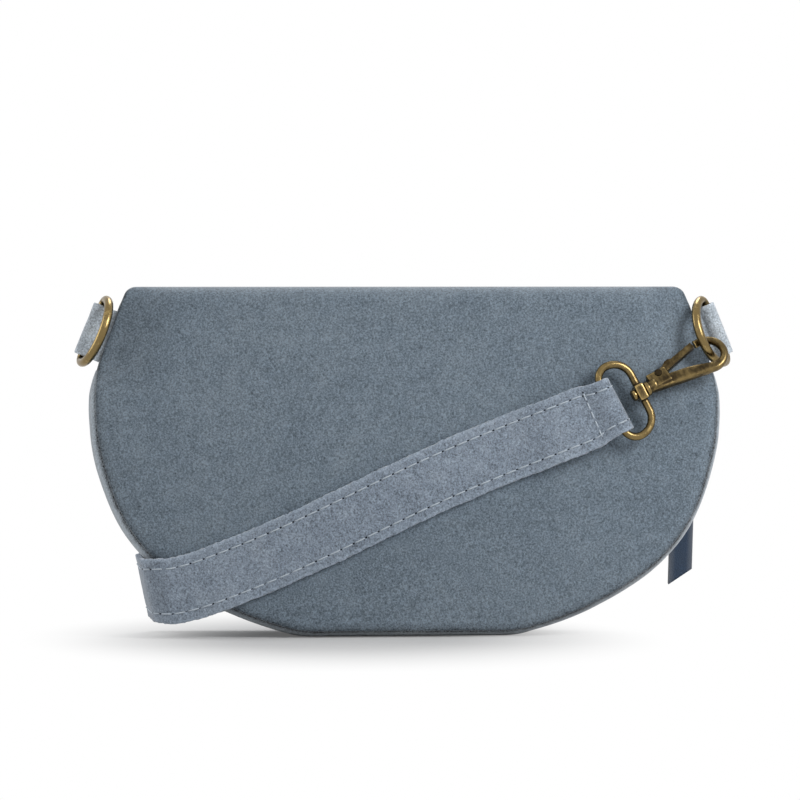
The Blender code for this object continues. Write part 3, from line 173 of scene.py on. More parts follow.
# Trigger snaps
LOOP_WIRE = 1.75 * MM
LOOP_HALF_WIDTH = 16.85 * MM
LOOP_LENGTH = 14.5 * MM
LOOP_FRONT_CORNER = 8.5 * MM
LOOP_BACK_CORNER = 6.0 * MM
LOOP_VOXEL = 0.25 * MM
EYE_RADIUS = 3.6 * MM
EYE_FLAT = 0.9
EYE_ROUND = 0.7 * MM
EYE_HALF_LENGTH = 2.1 * MM
EYE_HOLE = 1.85 * MM
EYE_CLEAR = 0.35 * MM
STEM_RADIUS = 1.5 * MM
STEM_STEP = 0.01 * MM
STUD_RADIUS = 2.6 * MM
STUD_LENGTH = 1.9 * MM
BARREL_RADIUS = 3.3 * MM
BARREL_LENGTH = 5.5 * MM
BARREL_RINGS = (0.5 * MM, 1.5 * MM, 2.0 * MM, 0.8 * MM)
BARREL_SEAT = 0.45
CHEEK_LENGTH = 4.2 * MM
CHEEK_LOW = 2.6 * MM
CHEEK_HIGH = 5.2 * MM
CHEEK_HALF = 2.4 * MM
CHEEK_ROUND = 0.9 * MM
GATE_SLOT_HALF = 1.45 * MM
GATE_SLOT_ROUND = 0.15 * MM
GATE_ROOT = 1.7 * MM
PIVOT_ALONG = 25.6 * MM
PIVOT_UP = 3.4 * MM
RIVET_HOLE = 1.3 * MM
ARM_WIRE = 1.8 * MM
ARM_ROOT_HALF = 2.9 * MM
ARM_ROOT_THICK = 2.1 * MM
ARM_START = 20.4 * MM
ARM_START_LOW = -1.1 * MM
ARM_ROUND_START = 14.0 * MM
ARM_ROUND_RUN = 24.0 * MM
BOW_ALONG = 49.5 * MM
BOW_UP = 1.5 * MM
BOW_RADIUS = 7.4 * MM
NOSE_ALONG = 47.0 * MM
BODY_VOXEL = 0.22 * MM
WEAR_AND_SHADE_REACH = 0.24 * MM

# Strap
STRAP_HALF_WIDTH = 14.2 * MM
STRAP_LEATHER = 2.4 * MM
STRAP_FOLD_HALF_WIDTH = 12.5 * MM
STRAP_NARROW = 9.0 * MM
STRAP_FOLD_BACK = 26.0 * MM
STRAP_CLOSE = 12.0 * MM
STRAP_DROP_START = 28.0 * MM
STRAP_DROP_END = 46.0 * MM
STRAP_END_LIFT = 2.8 * MM
STRAP_END_RUN = 60.0 * MM
STRAP_STEP = 1.1 * MM
STRAP_DOME = 0.05 * MM
STRAP_WAVE = 0.14 * MM
STRAP_WAVE_LENGTH = 16.0 * MM
STRAP_FRAY = 0.5 * MM
STRAP_FRAY_LENGTH = 1.5 * MM
STRAP_DRIFT = 0.3 * MM
STRAP_DRIFT_LENGTH = 9.0 * MM
STRAP_EDGE = 0.7 * MM
STRAP_EDGE_TONE = 1.6 * MM
STRAP_INSETS = np.array((0.0, 0.12, 0.6, 2.0, 3.4, 4.4, 5.4, 7.5)) * MM
STRAP_LEVELS = np.array((-0.62, -0.22, 0.0, 0.0, -0.05, -0.26, -0.05, 0.03)) * MM
SNAP_REACH = 49.1 * MM
SNAP_DROP = 34.3 * MM
LAYER_GAP = 0.3 * MM
HOOK_RISE = 26.5
HOOK_LEAN = 3.5
SNAP_TURNS = {"a": -28.0, "b": 180.0}
TURN_RADIUS = 9.0 * MM
TURN_LIFT = 0.9 * MM
TURN_PARTS_AT = 0.5
TURN_UPRIGHT_AT = 0.62
TURN_EASE = 0.13
TURN_OUT_Y = HALF_DEPTH - 4.0 * MM
TURN_TILTS = (16.0, 14.0, 12.0, 9.0)
RUN_ONE_END = 58.0 * MM
RUN_ONE_Z = 46.0 * MM
HANK_RADIUS = 6.0 * MM
RUN_TWO_END = 38.0 * MM
RUN_THREE_Z = 19.8 * MM
BAR_B_X = 4.0 * MM
CONTACT = SEAM_GAP + STRAP_LEATHER / 2
FOLD_BEND = LOOP_WIRE + SEAM_GAP + STRAP_LEATHER / 2
BAR_LIFT = CONTACT + FOLD_BEND + STRAP_END_LIFT
THIRD_Y = TURN_OUT_Y + TURN_RADIUS + 4 * HANK_RADIUS
LAYER = (STRAP_LEATHER + LAYER_GAP) / 2
BAR_B = (BAR_B_X, THIRD_Y + LAYER, RUN_THREE_Z)

# Stitches
STITCH_INSET = 4.4 * MM
STITCH_SINK = 0.24 * MM
STITCH_END = 2.5 * MM
STITCH_LINE_STEP = 0.8 * MM
CROSS_INSET = 1.8 * MM
CROSS_LIFT = 0.2 * MM
CROSS_FROM_BAR = 8.3 * MM
CROSS_SLACK = 1.2 * MM
THREAD_RISE = np.array((-0.32, 0.1, 0.3, 0.36, 0.3, 0.1, -0.32))
THREAD_SWELL = np.array((0.7, 1.0, 1.05, 1.05, 1.05, 1.0, 0.7))
HOLE_SLOPE_STEP = 0.5 * MM
HOLE_RIM = 0.05 * MM
HOLE_DEPTH = 0.25 * MM

# Grain and relief of the finishes
SUEDE_FINE = 0.78 * MM
SUEDE_FIBRE = 1.5 * MM
SUEDE_PATCH = 6.0 * MM
SUEDE_BROAD = 42.0 * MM
PULL_PORES = 0.9 * MM
PULL_WEAR = 4.0 * MM
PULL_RELIEF = 0.12 * MM
LINING_PITCH = 0.8 * MM
TAPE_PITCH = 0.6 * MM
CLOTH_MOTTLE = 9.0 * MM
CLOTH_RELIEF = 0.12 * MM
THREAD_TWIST = 0.35 * MM
THREAD_RELIEF = 0.08 * MM
BRASS_PATCH = 4.5 * MM
BRASS_GRIT = 0.35 * MM
BRASS_SCRATCH = 1.3 * MM
BRASS_RELIEF = 0.05 * MM
HOLE_FLECK = 0.4 * MM

OUTLINE_SHARES = (
    (0.0, 0.317), (0.006, 0.369), (0.025, 0.4425), (0.0537, 0.529), (0.0826, 0.599), (0.1262, 0.688),
    (0.1826, 0.778), (0.2389, 0.842), (0.294, 0.889), (0.351, 0.9233), (0.408, 0.9484), (0.4664, 0.9683),
    (0.5235, 0.9838), (0.5772, 0.9941), (0.6443, 1.0), (0.7047, 0.9985), (0.745, 0.9941), (0.7919, 0.9801),
    (0.8423, 0.9602), (0.9329, 0.9233), (0.9832, 0.9019), (1.0, 0.8923),
)
STRAP_SHARES = (
    (0.6416, 0.6474), (0.5642, 0.6184), (0.483, 0.5908), (0.354, 0.5487), (0.2249, 0.5039),
    (0.0959, 0.4562), (-0.0332, 0.4043), (-0.1622, 0.3497), (-0.2913, 0.2951), (-0.4204, 0.2431),
    (-0.5494, 0.1957), (-0.6785, 0.1530), (-0.768, 0.1342),
)


# Numbers and curves

def ease(value):
    """From 0 to 1 with soft ends, and held beyond them."""
    held = np.clip(value, 0.0, 1.0)
    return held * held * (3.0 - 2.0 * held)


def blend(first, second, share):
    return first + (second - first) * share


def columns(*parts):
    """Points from their coordinates, any of which may be one number."""
    return np.stack(np.broadcast_arrays(*parts), axis=-1)


def full_turn(sides):
    return np.linspace(0.0, 2.0 * math.pi, sides, endpoint=False)


def arc(centre, radius, start, end, steps):
    """Points in a plane on part of a circle, from angle to angle in degrees."""
    turn = np.radians(np.linspace(start, end, steps + 1))
    return columns(centre[0] + radius * np.cos(turn), centre[1] + radius * np.sin(turn))


def catmull(points, steps):
    """Smooth curve through the rows of an array."""
    points = np.asarray(points, float)
    last = len(points) - 1
    share = (np.arange(steps) / steps)[:, None]
    rows = []
    for index in range(last):
        before, here = points[max(index - 1, 0)], points[index]
        there, after = points[index + 1], points[min(index + 2, last)]
        rows.append(0.5 * (
            2.0 * here + (there - before) * share
            + (2.0 * before - 5.0 * here + 4.0 * there - after) * share ** 2
            + (3.0 * here - before - 3.0 * there + after) * share ** 3))
    rows.append(points[last:])
    return np.vstack(rows)


def unit(vectors):
    return vectors / np.maximum(np.linalg.norm(vectors, axis=-1, keepdims=True), 1e-12)


def run_lengths(points):
    steps = np.linalg.norm(np.diff(points, axis=0), axis=1)
    return np.concatenate(([0.0], np.cumsum(steps)))


def at_length(points, lengths, wanted):
    """Points, or any values, at given lengths along a line."""
    return columns(*(np.interp(wanted, lengths, values) for values in np.asarray(points).T))


def slopes(points, closed=False):
    """Directions along a line of points."""
    if closed:
        return unit(np.roll(points, -1, axis=0) - np.roll(points, 1, axis=0))
    return unit(np.gradient(points, axis=0))


def uneven(points, size, seed):
    """Soft noise between -1 and 1 at each point, with hollows of about the given size."""
    shift = Vector((seed * 17.3, seed * 5.1, seed * 9.7))
    values = [noise.noise(Vector(point) / size + shift) for point in points.reshape(-1, 3)]
    return np.array(values).reshape(points.shape[:-1])


def turned(degrees, axis):
    return Matrix.Rotation(math.radians(degrees), 4, axis)


# Surfaces of the shell

RISE = BODY_TOP - SEAM_LIFT
OUTLINE = catmull([(HALF_WIDTH * wide, SEAM_LIFT + RISE * high) for high, wide in OUTLINE_SHARES], 10)
OUTLINE_RUN = run_lengths(OUTLINE)
FOLD_BASE = BODY_TOP - FOLD_RADIUS
FRONT_SLOPE = (HALF_DEPTH - FOLD_FRONT) / (FOLD_BASE - SEAM_LIFT)
BACK_SLOPE = (HALF_DEPTH - FOLD_BACK) / (FOLD_BASE - SEAM_LIFT)
FRONT_TILT = math.atan(FRONT_SLOPE)
FRONT_UP = np.array((0.0, -math.sin(FRONT_TILT), math.cos(FRONT_TILT)))
FRONT_OUT = np.array((0.0, math.cos(FRONT_TILT), math.sin(FRONT_TILT)))
ZIP_CENTRE = FOLD_BASE - SEAM_LIFT - ZIP_CREST_DROP - ZIP_RADIUS
LINING_REACH = -TAPE_REACH - TAPE_START


def width_at(height):
    return np.interp(height, OUTLINE[:, 1], OUTLINE[:, 0])


def run_at(height):
    return np.interp(height, OUTLINE[:, 1], OUTLINE_RUN)


def height_at(run):
    return np.interp(run, OUTLINE_RUN, OUTLINE[:, 1])


def plane_y(side, height):
    slope = FRONT_SLOPE if side > 0 else BACK_SLOPE
    return side * (HALF_DEPTH - (height - SEAM_LIFT) * slope)


def middle_y(height):
    return 0.5 * (plane_y(1, height) + plane_y(-1, height))


def zip_height(across, reach):
    radius = ZIP_RADIUS + reach
    return SEAM_LIFT + (ZIP_CENTRE + np.sqrt(radius * radius - across * across)) * math.cos(FRONT_TILT)


def zip_edge_height(share, reach):
    """Height of a line beside the zip, at a share of the panel's half width."""
    height = zip_height(0.0, reach)
    for _ in range(40):
        height = zip_height(share * width_at(height), reach)
    return height


ZIP_END = float(width_at(zip_edge_height(1.0, 0.0))) - ZIP_SIDE_GAP
TAPE_END = ZIP_END + TAPE_SPARE
TAB_X = float(width_at(TAB_Z)) + TAB_STAND_OFF
FRONT_PLACE = Matrix.Translation((0.0, HALF_DEPTH, SEAM_LIFT)) @ turned(90.0 + math.degrees(FRONT_TILT), "X")


def crown(side, share, height):
    across = share * width_at(height)
    top = zip_height(across, -TAPE_REACH - ZIP_OPENING) if side > 0 else FOLD_BASE
    part = np.clip((height - SEAM_LIFT) / (top - SEAM_LIFT), 0.0, 1.0)
    return CROWNS[side] * (1.0 - share * share) * np.maximum(np.sin(math.pi * part), 0.0) ** 1.3


def wall_y(side, share, height):
    """Outer face of the back (side -1) or front (side 1)."""
    rise = ease((height - CUT_START) / (CUT_END - CUT_START))
    reach = ease((np.abs(share) - CUT_PINCH) / (1.0 - CUT_PINCH))
    pinched = blend(plane_y(side, height), middle_y(height) + side * CUT_HALF_DEPTH, rise * reach)
    return pinched + side * crown(side, share, height)


def wall_rows(side, shares, heights):
    return columns(shares * width_at(heights), wall_y(side, shares, heights), heights)


# Meshes and pieces

class Weave:
    """Points and faces of one piece while it is being made."""

    def __init__(self):
        self.points = []
        self.faces = []
        self.count = 0

    def add(self, points):
        """Takes in points and gives their numbers."""
        points = np.asarray(points, float)
        self.points.append(points.reshape(-1, 3))
        first = self.count
        self.count += len(self.points[-1])
        return np.arange(first, self.count).reshape(points.shape[:-1])

    def quads(self, grid, closed=False):
        """Faces over a table of point numbers."""
        beside = np.roll(grid, -1, axis=1) if closed else grid[:, 1:]
        here = grid if closed else grid[:, :-1]
        four = np.stack([here[:-1], beside[:-1], beside[1:], here[1:]], axis=-1)
        self.faces += four.reshape(-1, 4).tolist()

    def skin(self, rows, closed=False, capped=False):
        """Points and faces over a table of points, closed round each row and capped at both ends."""
        grid = self.add(rows)
        self.quads(grid, closed)
        if capped:
            self.faces += [grid[0][::-1].tolist(), grid[-1].tolist()]
        return grid

    def tube(self, centres, radius, sides, up, closed=False, wide=None, power=2.0):
        """Wire along points. Radius, width and squareness may change from point to point."""
        centres = np.asarray(centres, float)
        along = slopes(centres, closed)
        hint = np.array(up, float)
        first = unit(hint - (along @ hint)[:, None] * along)
        second = np.cross(along, first)
        radius, power = np.reshape(radius, (-1, 1)), np.reshape(power, (-1, 1))
        wide = radius if wide is None else np.reshape(wide, (-1, 1))
        cosine, sine = np.cos(full_turn(sides)), np.sin(full_turn(sides))
        scale = (np.abs(cosine) ** power + np.abs(sine) ** power) ** (-1.0 / power)
        rings = centres[:, None] + (wide * scale * cosine)[..., None] * first[:, None]
        rings = rings + (radius * scale * sine)[..., None] * second[:, None]
        grid = self.skin(rings, closed=True, capped=not closed)
        if closed:
            self.quads(grid[[-1, 0]], closed=True)

    def block(self, low, high, round_by, steps=4):
        """Block with rounded edges between two corners."""
        low, high = np.array(low), np.array(high)
        work = bmesh.new()
        bmesh.ops.create_cube(work, size=1.0)
        for vert in work.verts:
            vert.co = Vector(tuple((low + high) / 2 + np.array(vert.co) * (high - low)))
        bmesh.ops.bevel(
            work, geom=list(work.edges), offset=round_by, segments=steps, affect="EDGES", profile=0.5)
        work.verts.ensure_lookup_table()
        numbers = self.add([vert.co[:] for vert in work.verts])
        self.faces += [[int(numbers[vert.index]) for vert in face.verts] for face in work.faces]
        work.free()

    def mesh(self, name, facing=None):
        """Mesh with its faces outwards, or with the face nearest a point looking along a direction."""
        mesh = bpy.data.meshes.new(name)
        mesh.from_pydata(np.vstack(self.points).tolist(), [], self.faces)
        mesh.validate()
        work = bmesh.new()
        work.from_mesh(mesh)
        bmesh.ops.recalc_face_normals(work, faces=work.faces)
        if facing:
            place, direction = Vector(facing[0]), Vector(facing[1])
            nearest = min(work.faces, key=lambda face: (face.calc_center_median() - place).length_squared)
            wrong = nearest.normal.dot(direction) < 0.0
        else:
            wrong = work.calc_volume(signed=True) < 0.0
        if wrong:
            bmesh.ops.reverse_faces(work, faces=work.faces)
        work.to_mesh(mesh)
        work.free()
        return mesh


def mark_wear_and_shade(mesh, values):
    """Stores one number per point for the finish to read: wear on edges, and painted shade in seams and
    hollows.
    """
    attribute = mesh.attributes.new("wear_and_shade", "FLOAT", "POINT")
    attribute.data.foreach_set("value", np.asarray(values, np.float32).ravel())


def mark_wear_and_hollow_shade(mesh, rounds=14):
    """Marks cast metal: above 0 on its edges, worn bright and given a painted highlight, and below 0 in its
    hollows, for patina and painted shade.
    """
    count = len(mesh.vertices)
    places, ways = np.empty(3 * count), np.empty(3 * count)
    pairs = np.empty(2 * len(mesh.edges), int)
    mesh.vertices.foreach_get("co", places)
    mesh.vertices.foreach_get("normal", ways)
    mesh.edges.foreach_get("vertices", pairs)
    first, second = pairs.reshape(-1, 2).T
    places = places.reshape(-1, 3)
    near = np.bincount(first, minlength=count) + np.bincount(second, minlength=count)
    smooth = places
    for _ in range(rounds):
        total = columns(*(
            np.bincount(first, values[second], count) + np.bincount(second, values[first], count)
            for values in smooth.T))
        smooth = total / np.maximum(near, 1)[:, None]
    proud = np.sum((places - smooth) * ways.reshape(-1, 3), axis=1)
    mark_wear_and_shade(mesh, np.clip(proud / WEAR_AND_SHADE_REACH, -1.0, 1.0))


def linked(name, data):
    thing = bpy.data.objects.new(name, data)
    bpy.context.scene.collection.objects.link(thing)
    return thing


def piece(
        looks, name, shape, finish, body, nodes=(), place=None, thickness=0.0, facing=None,
        wear_and_shade=None):
    """Object from a weave or a mesh, with its finish, riding on a body and standing for solids."""
    mesh = shape.mesh(name, facing) if isinstance(shape, Weave) else shape
    if wear_and_shade is not None:
        mark_wear_and_shade(mesh, wear_and_shade)
    thing = linked(name, mesh)
    mesh.materials.clear()
    mesh.materials.append(finish_for(finish, looks))
    mesh.shade_smooth()
    if place is not None:
        thing.matrix_world = place
    if thickness:
        shell = thing.modifiers.new("leather", "SOLIDIFY")
        shell.thickness = thickness
        shell.offset = -1.0
        shell.use_rim = True
    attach(thing, body)
    if nodes:
        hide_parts(*nodes)
    return thing


def roll_edge(weave, ring, inward, depth, bulge, away, steps=8):
    """Rolls the edge of a sheet over: out by the bulge and in by the depth."""
    base = np.vstack(weave.points)[ring]
    outward = np.cross(slopes(base), inward)
    outward = unit(outward * np.sign(np.sum(outward * away, axis=1))[:, None])
    depth = np.broadcast_to(depth, len(base))[:, None]
    grid = [ring]
    for step in range(1, steps + 1):
        turn = math.pi * step / steps
        grid.append(weave.add(
            base + outward * bulge * math.sin(turn) + inward * depth * (0.5 - 0.5 * math.cos(turn))))
    weave.quads(np.array(grid))


# Finishes

class Flow:
    """One value in a finish. Sums and products with it add Math nodes."""

    def __init__(self, finish, socket):
        self.finish = finish
        self.socket = socket

    def __add__(self, other):
        return self.finish.math("ADD", self, other)

    def __sub__(self, other):
        return self.finish.math("SUBTRACT", self, other)

    def __rsub__(self, other):
        return self.finish.math("SUBTRACT", other, self)

    def __mul__(self, other):
        return self.finish.math("MULTIPLY", self, other)

    __radd__ = __add__
    __rmul__ = __mul__


class Graph:
    """The nodes of one material or of the world."""

    def __init__(self, tree):
        self.tree = tree

    def node(self, kind, settings=None, inputs=None, output=0):
        made = self.tree.nodes.new(kind)
        for key, value in (settings or {}).items():
            setattr(made, key, value)
        for key, value in (inputs or {}).items():
            if isinstance(value, Flow):
                self.tree.links.new(value.socket, made.inputs[key])
            else:
                made.inputs[key].default_value = value
        return Flow(self, made.outputs[output])

    def math(self, operation, *values):
        return self.node("ShaderNodeMath", {"operation": operation}, dict(enumerate(values)))

    def seen_white(self):
        """1 for what the camera, glossy metal or glass sees, 0 for the light on the bag."""
        camera, glossy, through = (
            self.node("ShaderNodeLightPath", output=ray)
            for ray in ("Is Camera Ray", "Is Glossy Ray", "Is Transmission Ray"))
        return self.math("MAXIMUM", camera, self.math("MAXIMUM", glossy, through))

    def end(self, kind, share, first, second):
        """Joins a mix of two shaders to the output of the material or world."""
        mix = self.node("ShaderNodeMixShader", None, {0: share, 1: first, 2: second})
        output = self.tree.nodes.get(kind) or self.tree.nodes.new("ShaderNodeOutputWorld")
        self.tree.links.new(mix.socket, output.inputs["Surface"])


class Finish(Graph):
    """A procedural material with one main shader."""

    def __init__(self, name, **constants):
        self.material = bpy.data.materials.new(name)
        self.material.use_nodes = True
        super().__init__(self.material.node_tree)
        self.shader = self.tree.nodes["Principled BSDF"]
        for socket, value in constants.items():
            self.shader.inputs[socket.replace("_", " ")].default_value = value
        self.coordinates = self.node("ShaderNodeTexCoord", output="Object")

    def mapped(self, stretch, turn=(0.0, 0.0, 0.0), shift=(0.0, 0.0, 0.0)):
        return self.node("ShaderNodeMapping", None, {
            "Vector": self.coordinates, "Scale": stretch, "Rotation": turn, "Location": shift})

    def cloud(self, size, detail=2.0, rough=0.5, vector=None):
        """Noise about zero, from -0.5 to 0.5, with patches of a size in metres."""
        return self.node("ShaderNodeTexNoise", None, {
            "Vector": vector or self.coordinates, "Scale": 1.0 / size, "Detail": detail,
            "Roughness": rough}, "Fac") - 0.5

    # Per-point mark from the mesh: wear on edges, and painted shade in seams and hollows.
    def wear_and_shade(self):
        return self.node("ShaderNodeAttribute", {"attribute_name": "wear_and_shade"}, None, "Fac")

    def ramp(self, value, low, high):
        """0 below low, 1 above high, smooth between."""
        return self.node(
            "ShaderNodeMapRange", {"interpolation_type": "SMOOTHSTEP"},
            {"Value": value, "From Min": low, "From Max": high}, "Result")

    def mixed(self, factor, *colours):
        first, second = (item if isinstance(item, Flow) else (*item[:3], 1.0) for item in colours)
        return self.node(
            "ShaderNodeMix", {"data_type": "RGBA", "clamp_factor": True},
            {0: factor, 6: first, 7: second}, 2)

    def shaded(self, colour, amount):
        """The colour made lighter or darker by an amount about zero."""
        grey = self.node("ShaderNodeCombineXYZ", None, {axis: amount + 1.0 for axis in range(3)})
        plain = colour if isinstance(colour, Flow) else tuple(colour[:3])
        return self.node("ShaderNodeVectorMath", {"operation": "MULTIPLY"}, {0: plain, 1: grey})

    def drive(self, tone, rough, height=None, depth=0.0, strength=1.0):
        """Joins colour, roughness and, where there is one, a relief to the main shader."""
        links = {"Base Color": tone, "Roughness": rough}
        if height:
            links["Normal"] = self.node(
                "ShaderNodeBump", None, {"Height": height, "Distance": depth, "Strength": strength},
                "Normal")
        for socket, value in links.items():
            self.tree.links.new(value.socket, self.shader.inputs[socket])
        return self.material


def suede(name, colour, nap, streak=0.6, edge_wear_and_shade=0.25):
    """Brushed suede: short nap in mottled patches, streaks of brushing, and edges marked by the mesh: paler
    where worn, and painted shade in the seams.
    """
    finish = Finish(name, Sheen_Weight=0.45, Sheen_Roughness=0.5, Specular_IOR_Level=0.12)
    fine = finish.cloud(SUEDE_FINE, 2.0, 0.75)
    fibre = finish.cloud(SUEDE_FIBRE, 2.0, 0.65, finish.mapped((1.0, 1.0, 0.55), (0.0, 0.62, 0.0)))
    patch = finish.cloud(SUEDE_PATCH, 3.0, 0.55)
    broad = finish.cloud(SUEDE_BROAD)
    grain = fine * 2.6 + fibre * streak + patch * 0.5 + broad * 0.42 + finish.wear_and_shade() * edge_wear_and_shade
    tone = finish.shaded(colour, grain)
    warm = finish.shaded(tuple(c * f for c, f in zip(colour, (1.03, 1.0, 0.97))), grain)
    base = finish.mixed(finish.ramp(broad + patch, -0.25, 0.45), tone, warm)
    return finish.drive(base, fine * 0.12 + 0.92, fine * 0.55 + fibre * 0.45 + patch * 0.5, nap, 0.9)


def pull_leather(name, colour):
    """Smooth leather with fine pores and pale cut edges."""
    finish = Finish(name, Specular_IOR_Level=0.3)
    pores = finish.node(
        "ShaderNodeTexVoronoi", {"feature": "DISTANCE_TO_EDGE"},
        {"Vector": finish.coordinates, "Scale": 1.0 / PULL_PORES}, "Distance")
    grain = finish.ramp(pores, 0.02, 0.16)
    worn = finish.cloud(PULL_WEAR, 3.0)
    tone = finish.shaded(colour, worn * 0.5 + grain * 0.12)
    pale = tuple(blend(c, 0.45, 0.5) for c in colour)
    base = finish.mixed(finish.wear_and_shade() * 0.75, tone, pale)
    return finish.drive(base, grain * -0.12 + worn * 0.2 + 0.66, grain + worn * 0.3, PULL_RELIEF, 0.6)


def woven(name, colour, pitch, sheen=0.1):
    """Plain weave of crossing threads."""
    finish = Finish(name, Sheen_Weight=sheen, Specular_IOR_Level=0.2)
    over, under = (
        finish.node(
            "ShaderNodeTexWave", {"wave_type": "BANDS", "bands_direction": way},
            {"Vector": finish.coordinates, "Scale": 0.16 / pitch, "Distortion": 0.4, "Detail": 1.0}, "Fac")
        for way in "XZ")
    cloth = over * 0.5 + under * 0.5
    mottle = finish.cloud(CLOTH_MOTTLE)
    tone = finish.shaded(colour, cloth * 0.5 - 0.25 + mottle * 0.25)
    return finish.drive(tone, mottle * 0.1 + 0.88, cloth, CLOTH_RELIEF, 0.7)


def thread(name, colour):
    """Twisted sewing thread."""
    finish = Finish(name, Specular_IOR_Level=0.35)
    twist = finish.cloud(THREAD_TWIST, 1.0)
    return finish.drive(finish.shaded(colour, twist * 0.5), twist * 0.2 + 0.62, twist, THREAD_RELIEF, 0.7)


def aged_brass(name, bright, dark, wear=0.0):
    """Antique brass: golden worn edges that also carry a painted highlight, brown patina in patches and in
    the hollows, where it also stands for painted shade, and fine scratches.
    """
    finish = Finish(name, Metallic=1.0)
    patch = finish.cloud(BRASS_PATCH, 3.0, 0.6)
    grit = finish.cloud(BRASS_GRIT)
    scratch = finish.cloud(BRASS_SCRATCH, 2.0, 0.6, finish.mapped((1.0, 1.0, 0.25), (0.5, 0.3, 0.0)))
    wear_and_shade = finish.wear_and_shade()
    patina_and_shade = finish.ramp(patch + scratch * 0.5 + grit * 0.2 - wear_and_shade * 0.5, -0.4 + wear, 0.2 + wear)
    middle = tuple(blend(b, d, 0.56) for b, d in zip(bright, dark))
    # Edges: worn bright brass, and also a painted highlight in place of reflections.
    worn = finish.ramp(wear_and_shade + patch * 1.3 + scratch * 0.6, 0.38, 0.95)
    base = finish.mixed(worn, finish.mixed(patina_and_shade, middle, dark), bright)
    tone = finish.shaded(base, scratch * 0.3 + grit * 0.15)
    return finish.drive(
        tone, patina_and_shade * 0.16 + scratch * 0.1 + 0.19, grit * 0.5 + scratch + patch, BRASS_RELIEF, 0.5)


def painted_hole_shade(name):
    """Painted shade inside a needle hole: nearly black."""
    finish = Finish(name, Specular_IOR_Level=0.1)
    fleck = finish.cloud(HOLE_FLECK, 1.0)
    return finish.drive(finish.shaded((0.012, 0.014, 0.018), fleck), fleck * 0.1 + 0.9)


FINISHES = {}


def finish_for(key, looks):
    """The finish of that name. All are made when the first is asked for."""
    brass = (looks.brass_bright, looks.brass_dark)
    if not FINISHES:
        FINISHES.update({
            "panel": suede("panel_suede", looks.panel_colour, looks.nap),
            # Gusset suede, made lighter partly as painted sheen along the side.
            "gusset": suede("gusset_suede_painted_sheen", looks.gusset_colour_with_painted_sheen, looks.nap),
            "strap": suede("strap_suede_nap", looks.strap_colour, looks.nap, 0.7, 0.35),
            "tab": suede("tab_suede_nap", looks.tab_colour, looks.nap, 0.4, 0.2),
            "pull": pull_leather("navy_leather", looks.pull_colour),
            "lining": woven("lining_weave", looks.lining_colour, LINING_PITCH),
            "tape": woven("tape_weave", looks.tape_colour, TAPE_PITCH, 0.05),
            "thread": thread("pale_thread", looks.thread_colour),
            "seam_thread": thread("seam_thread", looks.seam_thread_colour),
            "hole": painted_hole_shade("needle_hole_painted_shade"),
            "brass": aged_brass("aged_brass", *brass),
            "brass_zip": aged_brass("zip_brass", *brass, 0.12),
            "rivet": aged_brass("rivet_brass", *brass, -0.45),
            "steel": aged_brass("spring_wire", (0.42, 0.41, 0.38), (0.12, 0.11, 0.10)),
        })
    return FINISHES[key]


# Shell

def edge_loop(grid, side):
    """Point numbers down one side of a panel, along its bottom and up the other side."""
    if side < 0:
        return np.concatenate((grid[::-1, 0], grid[0, 1:-1], grid[:, -1]))
    return np.concatenate((grid[:, 0], grid[-1, 1:-1], grid[::-1, -1]))


def seam_depth(points, room):
    """How far the rolled edge may reach in: it closes on its partner, and leaves room for the tab."""
    height = points[:, 2]
    closing = ease((height - CUT_START) / (CUT_END - CUT_START))
    above = ease((height - TAB_ROOM_LOW) / TAB_ROOM_LOW_RUN)
    below = ease((TAB_ROOM_HIGH - height) / TAB_ROOM_HIGH_RUN)
    spare = blend(LIP_SPARE, TAB_SPARE, above * below)
    return blend(np.minimum(LIP_DEPTH, room), np.maximum(room - spare, LIP_LEAST), closing)


def painted_seam_shade(points):
    """Painted shade of a panel by its side seam: dark in the seam, where shade falls, and paler on the curve
    beside it.
    """
    gap = seam_gap(points)
    crest = np.exp(-((gap - SEAM_CREST) / SEAM_CREST_REACH) ** 2)
    return 0.35 * crest - 1.6 * np.exp(-(gap / SEAM_SHADE_REACH) ** 2)


def panel_shares():
    """Columns of a panel, closer together beside the side seams."""
    edge = np.array((0.979, 0.987, 0.994, 1.0))
    return np.concatenate((-edge[::-1], np.linspace(-0.97, 0.97, 155), edge))


def back_rows():
    """Rows of the back, the rolled top and the yoke over the zip, with inward directions and room."""
    shares = panel_shares()
    heights = height_at(np.linspace(run_at(SEAM_LIFT), run_at(FOLD_BASE), BACK_PLANE_ROWS))
    plane = wall_rows(-1, shares, heights[:, None])
    centre_y = middle_y(FOLD_BASE)
    fold = []
    for angle in np.linspace(0.0, math.pi, 23)[1:-1]:
        reach = wall_y(-1 if angle < math.pi / 2 else 1, shares, FOLD_BASE) - centre_y
        height = FOLD_BASE + FOLD_RADIUS * math.sin(angle)
        over = max(height - BODY_TOP + TOP_CORNER, 0.0)
        width = width_at(height) - TOP_CORNER + math.sqrt(TOP_CORNER ** 2 - over ** 2)
        fold.append(columns(shares * width, centre_y + reach * abs(math.cos(angle)), height))
    fold = np.array(fold)
    to_centre = columns(fold[..., 0], centre_y, FOLD_BASE) - fold
    low = zip_edge_height(shares, ZIP_OPENING)
    yoke = wall_rows(1, shares, blend(FOLD_BASE, low, np.linspace(0.0, 1.0, 26)[:, None]))
    inward = [np.broadcast_to((0.0, 1.0, 0.0), plane.shape), unit(to_centre)]
    inward.append(np.broadcast_to((0.0, -1.0, 0.0), yoke.shape))
    room = [middle_y(plane[..., 2]) - plane[..., 1], np.linalg.norm(to_centre, axis=-1)]
    room.append(yoke[..., 1] - middle_y(yoke[..., 2]))
    return np.concatenate((plane, fold, yoke)), np.concatenate(inward), np.concatenate(room)


def soften(points, seed):
    """Small unevenness of a sewn leather face, across the bag."""
    softened = points.copy()
    softened[..., 1] += SOFTNESS * (
        uneven(points, SOFT_BROAD, seed) + 0.45 * uneven(points, SOFT_SMALL, seed + 3))
    return softened


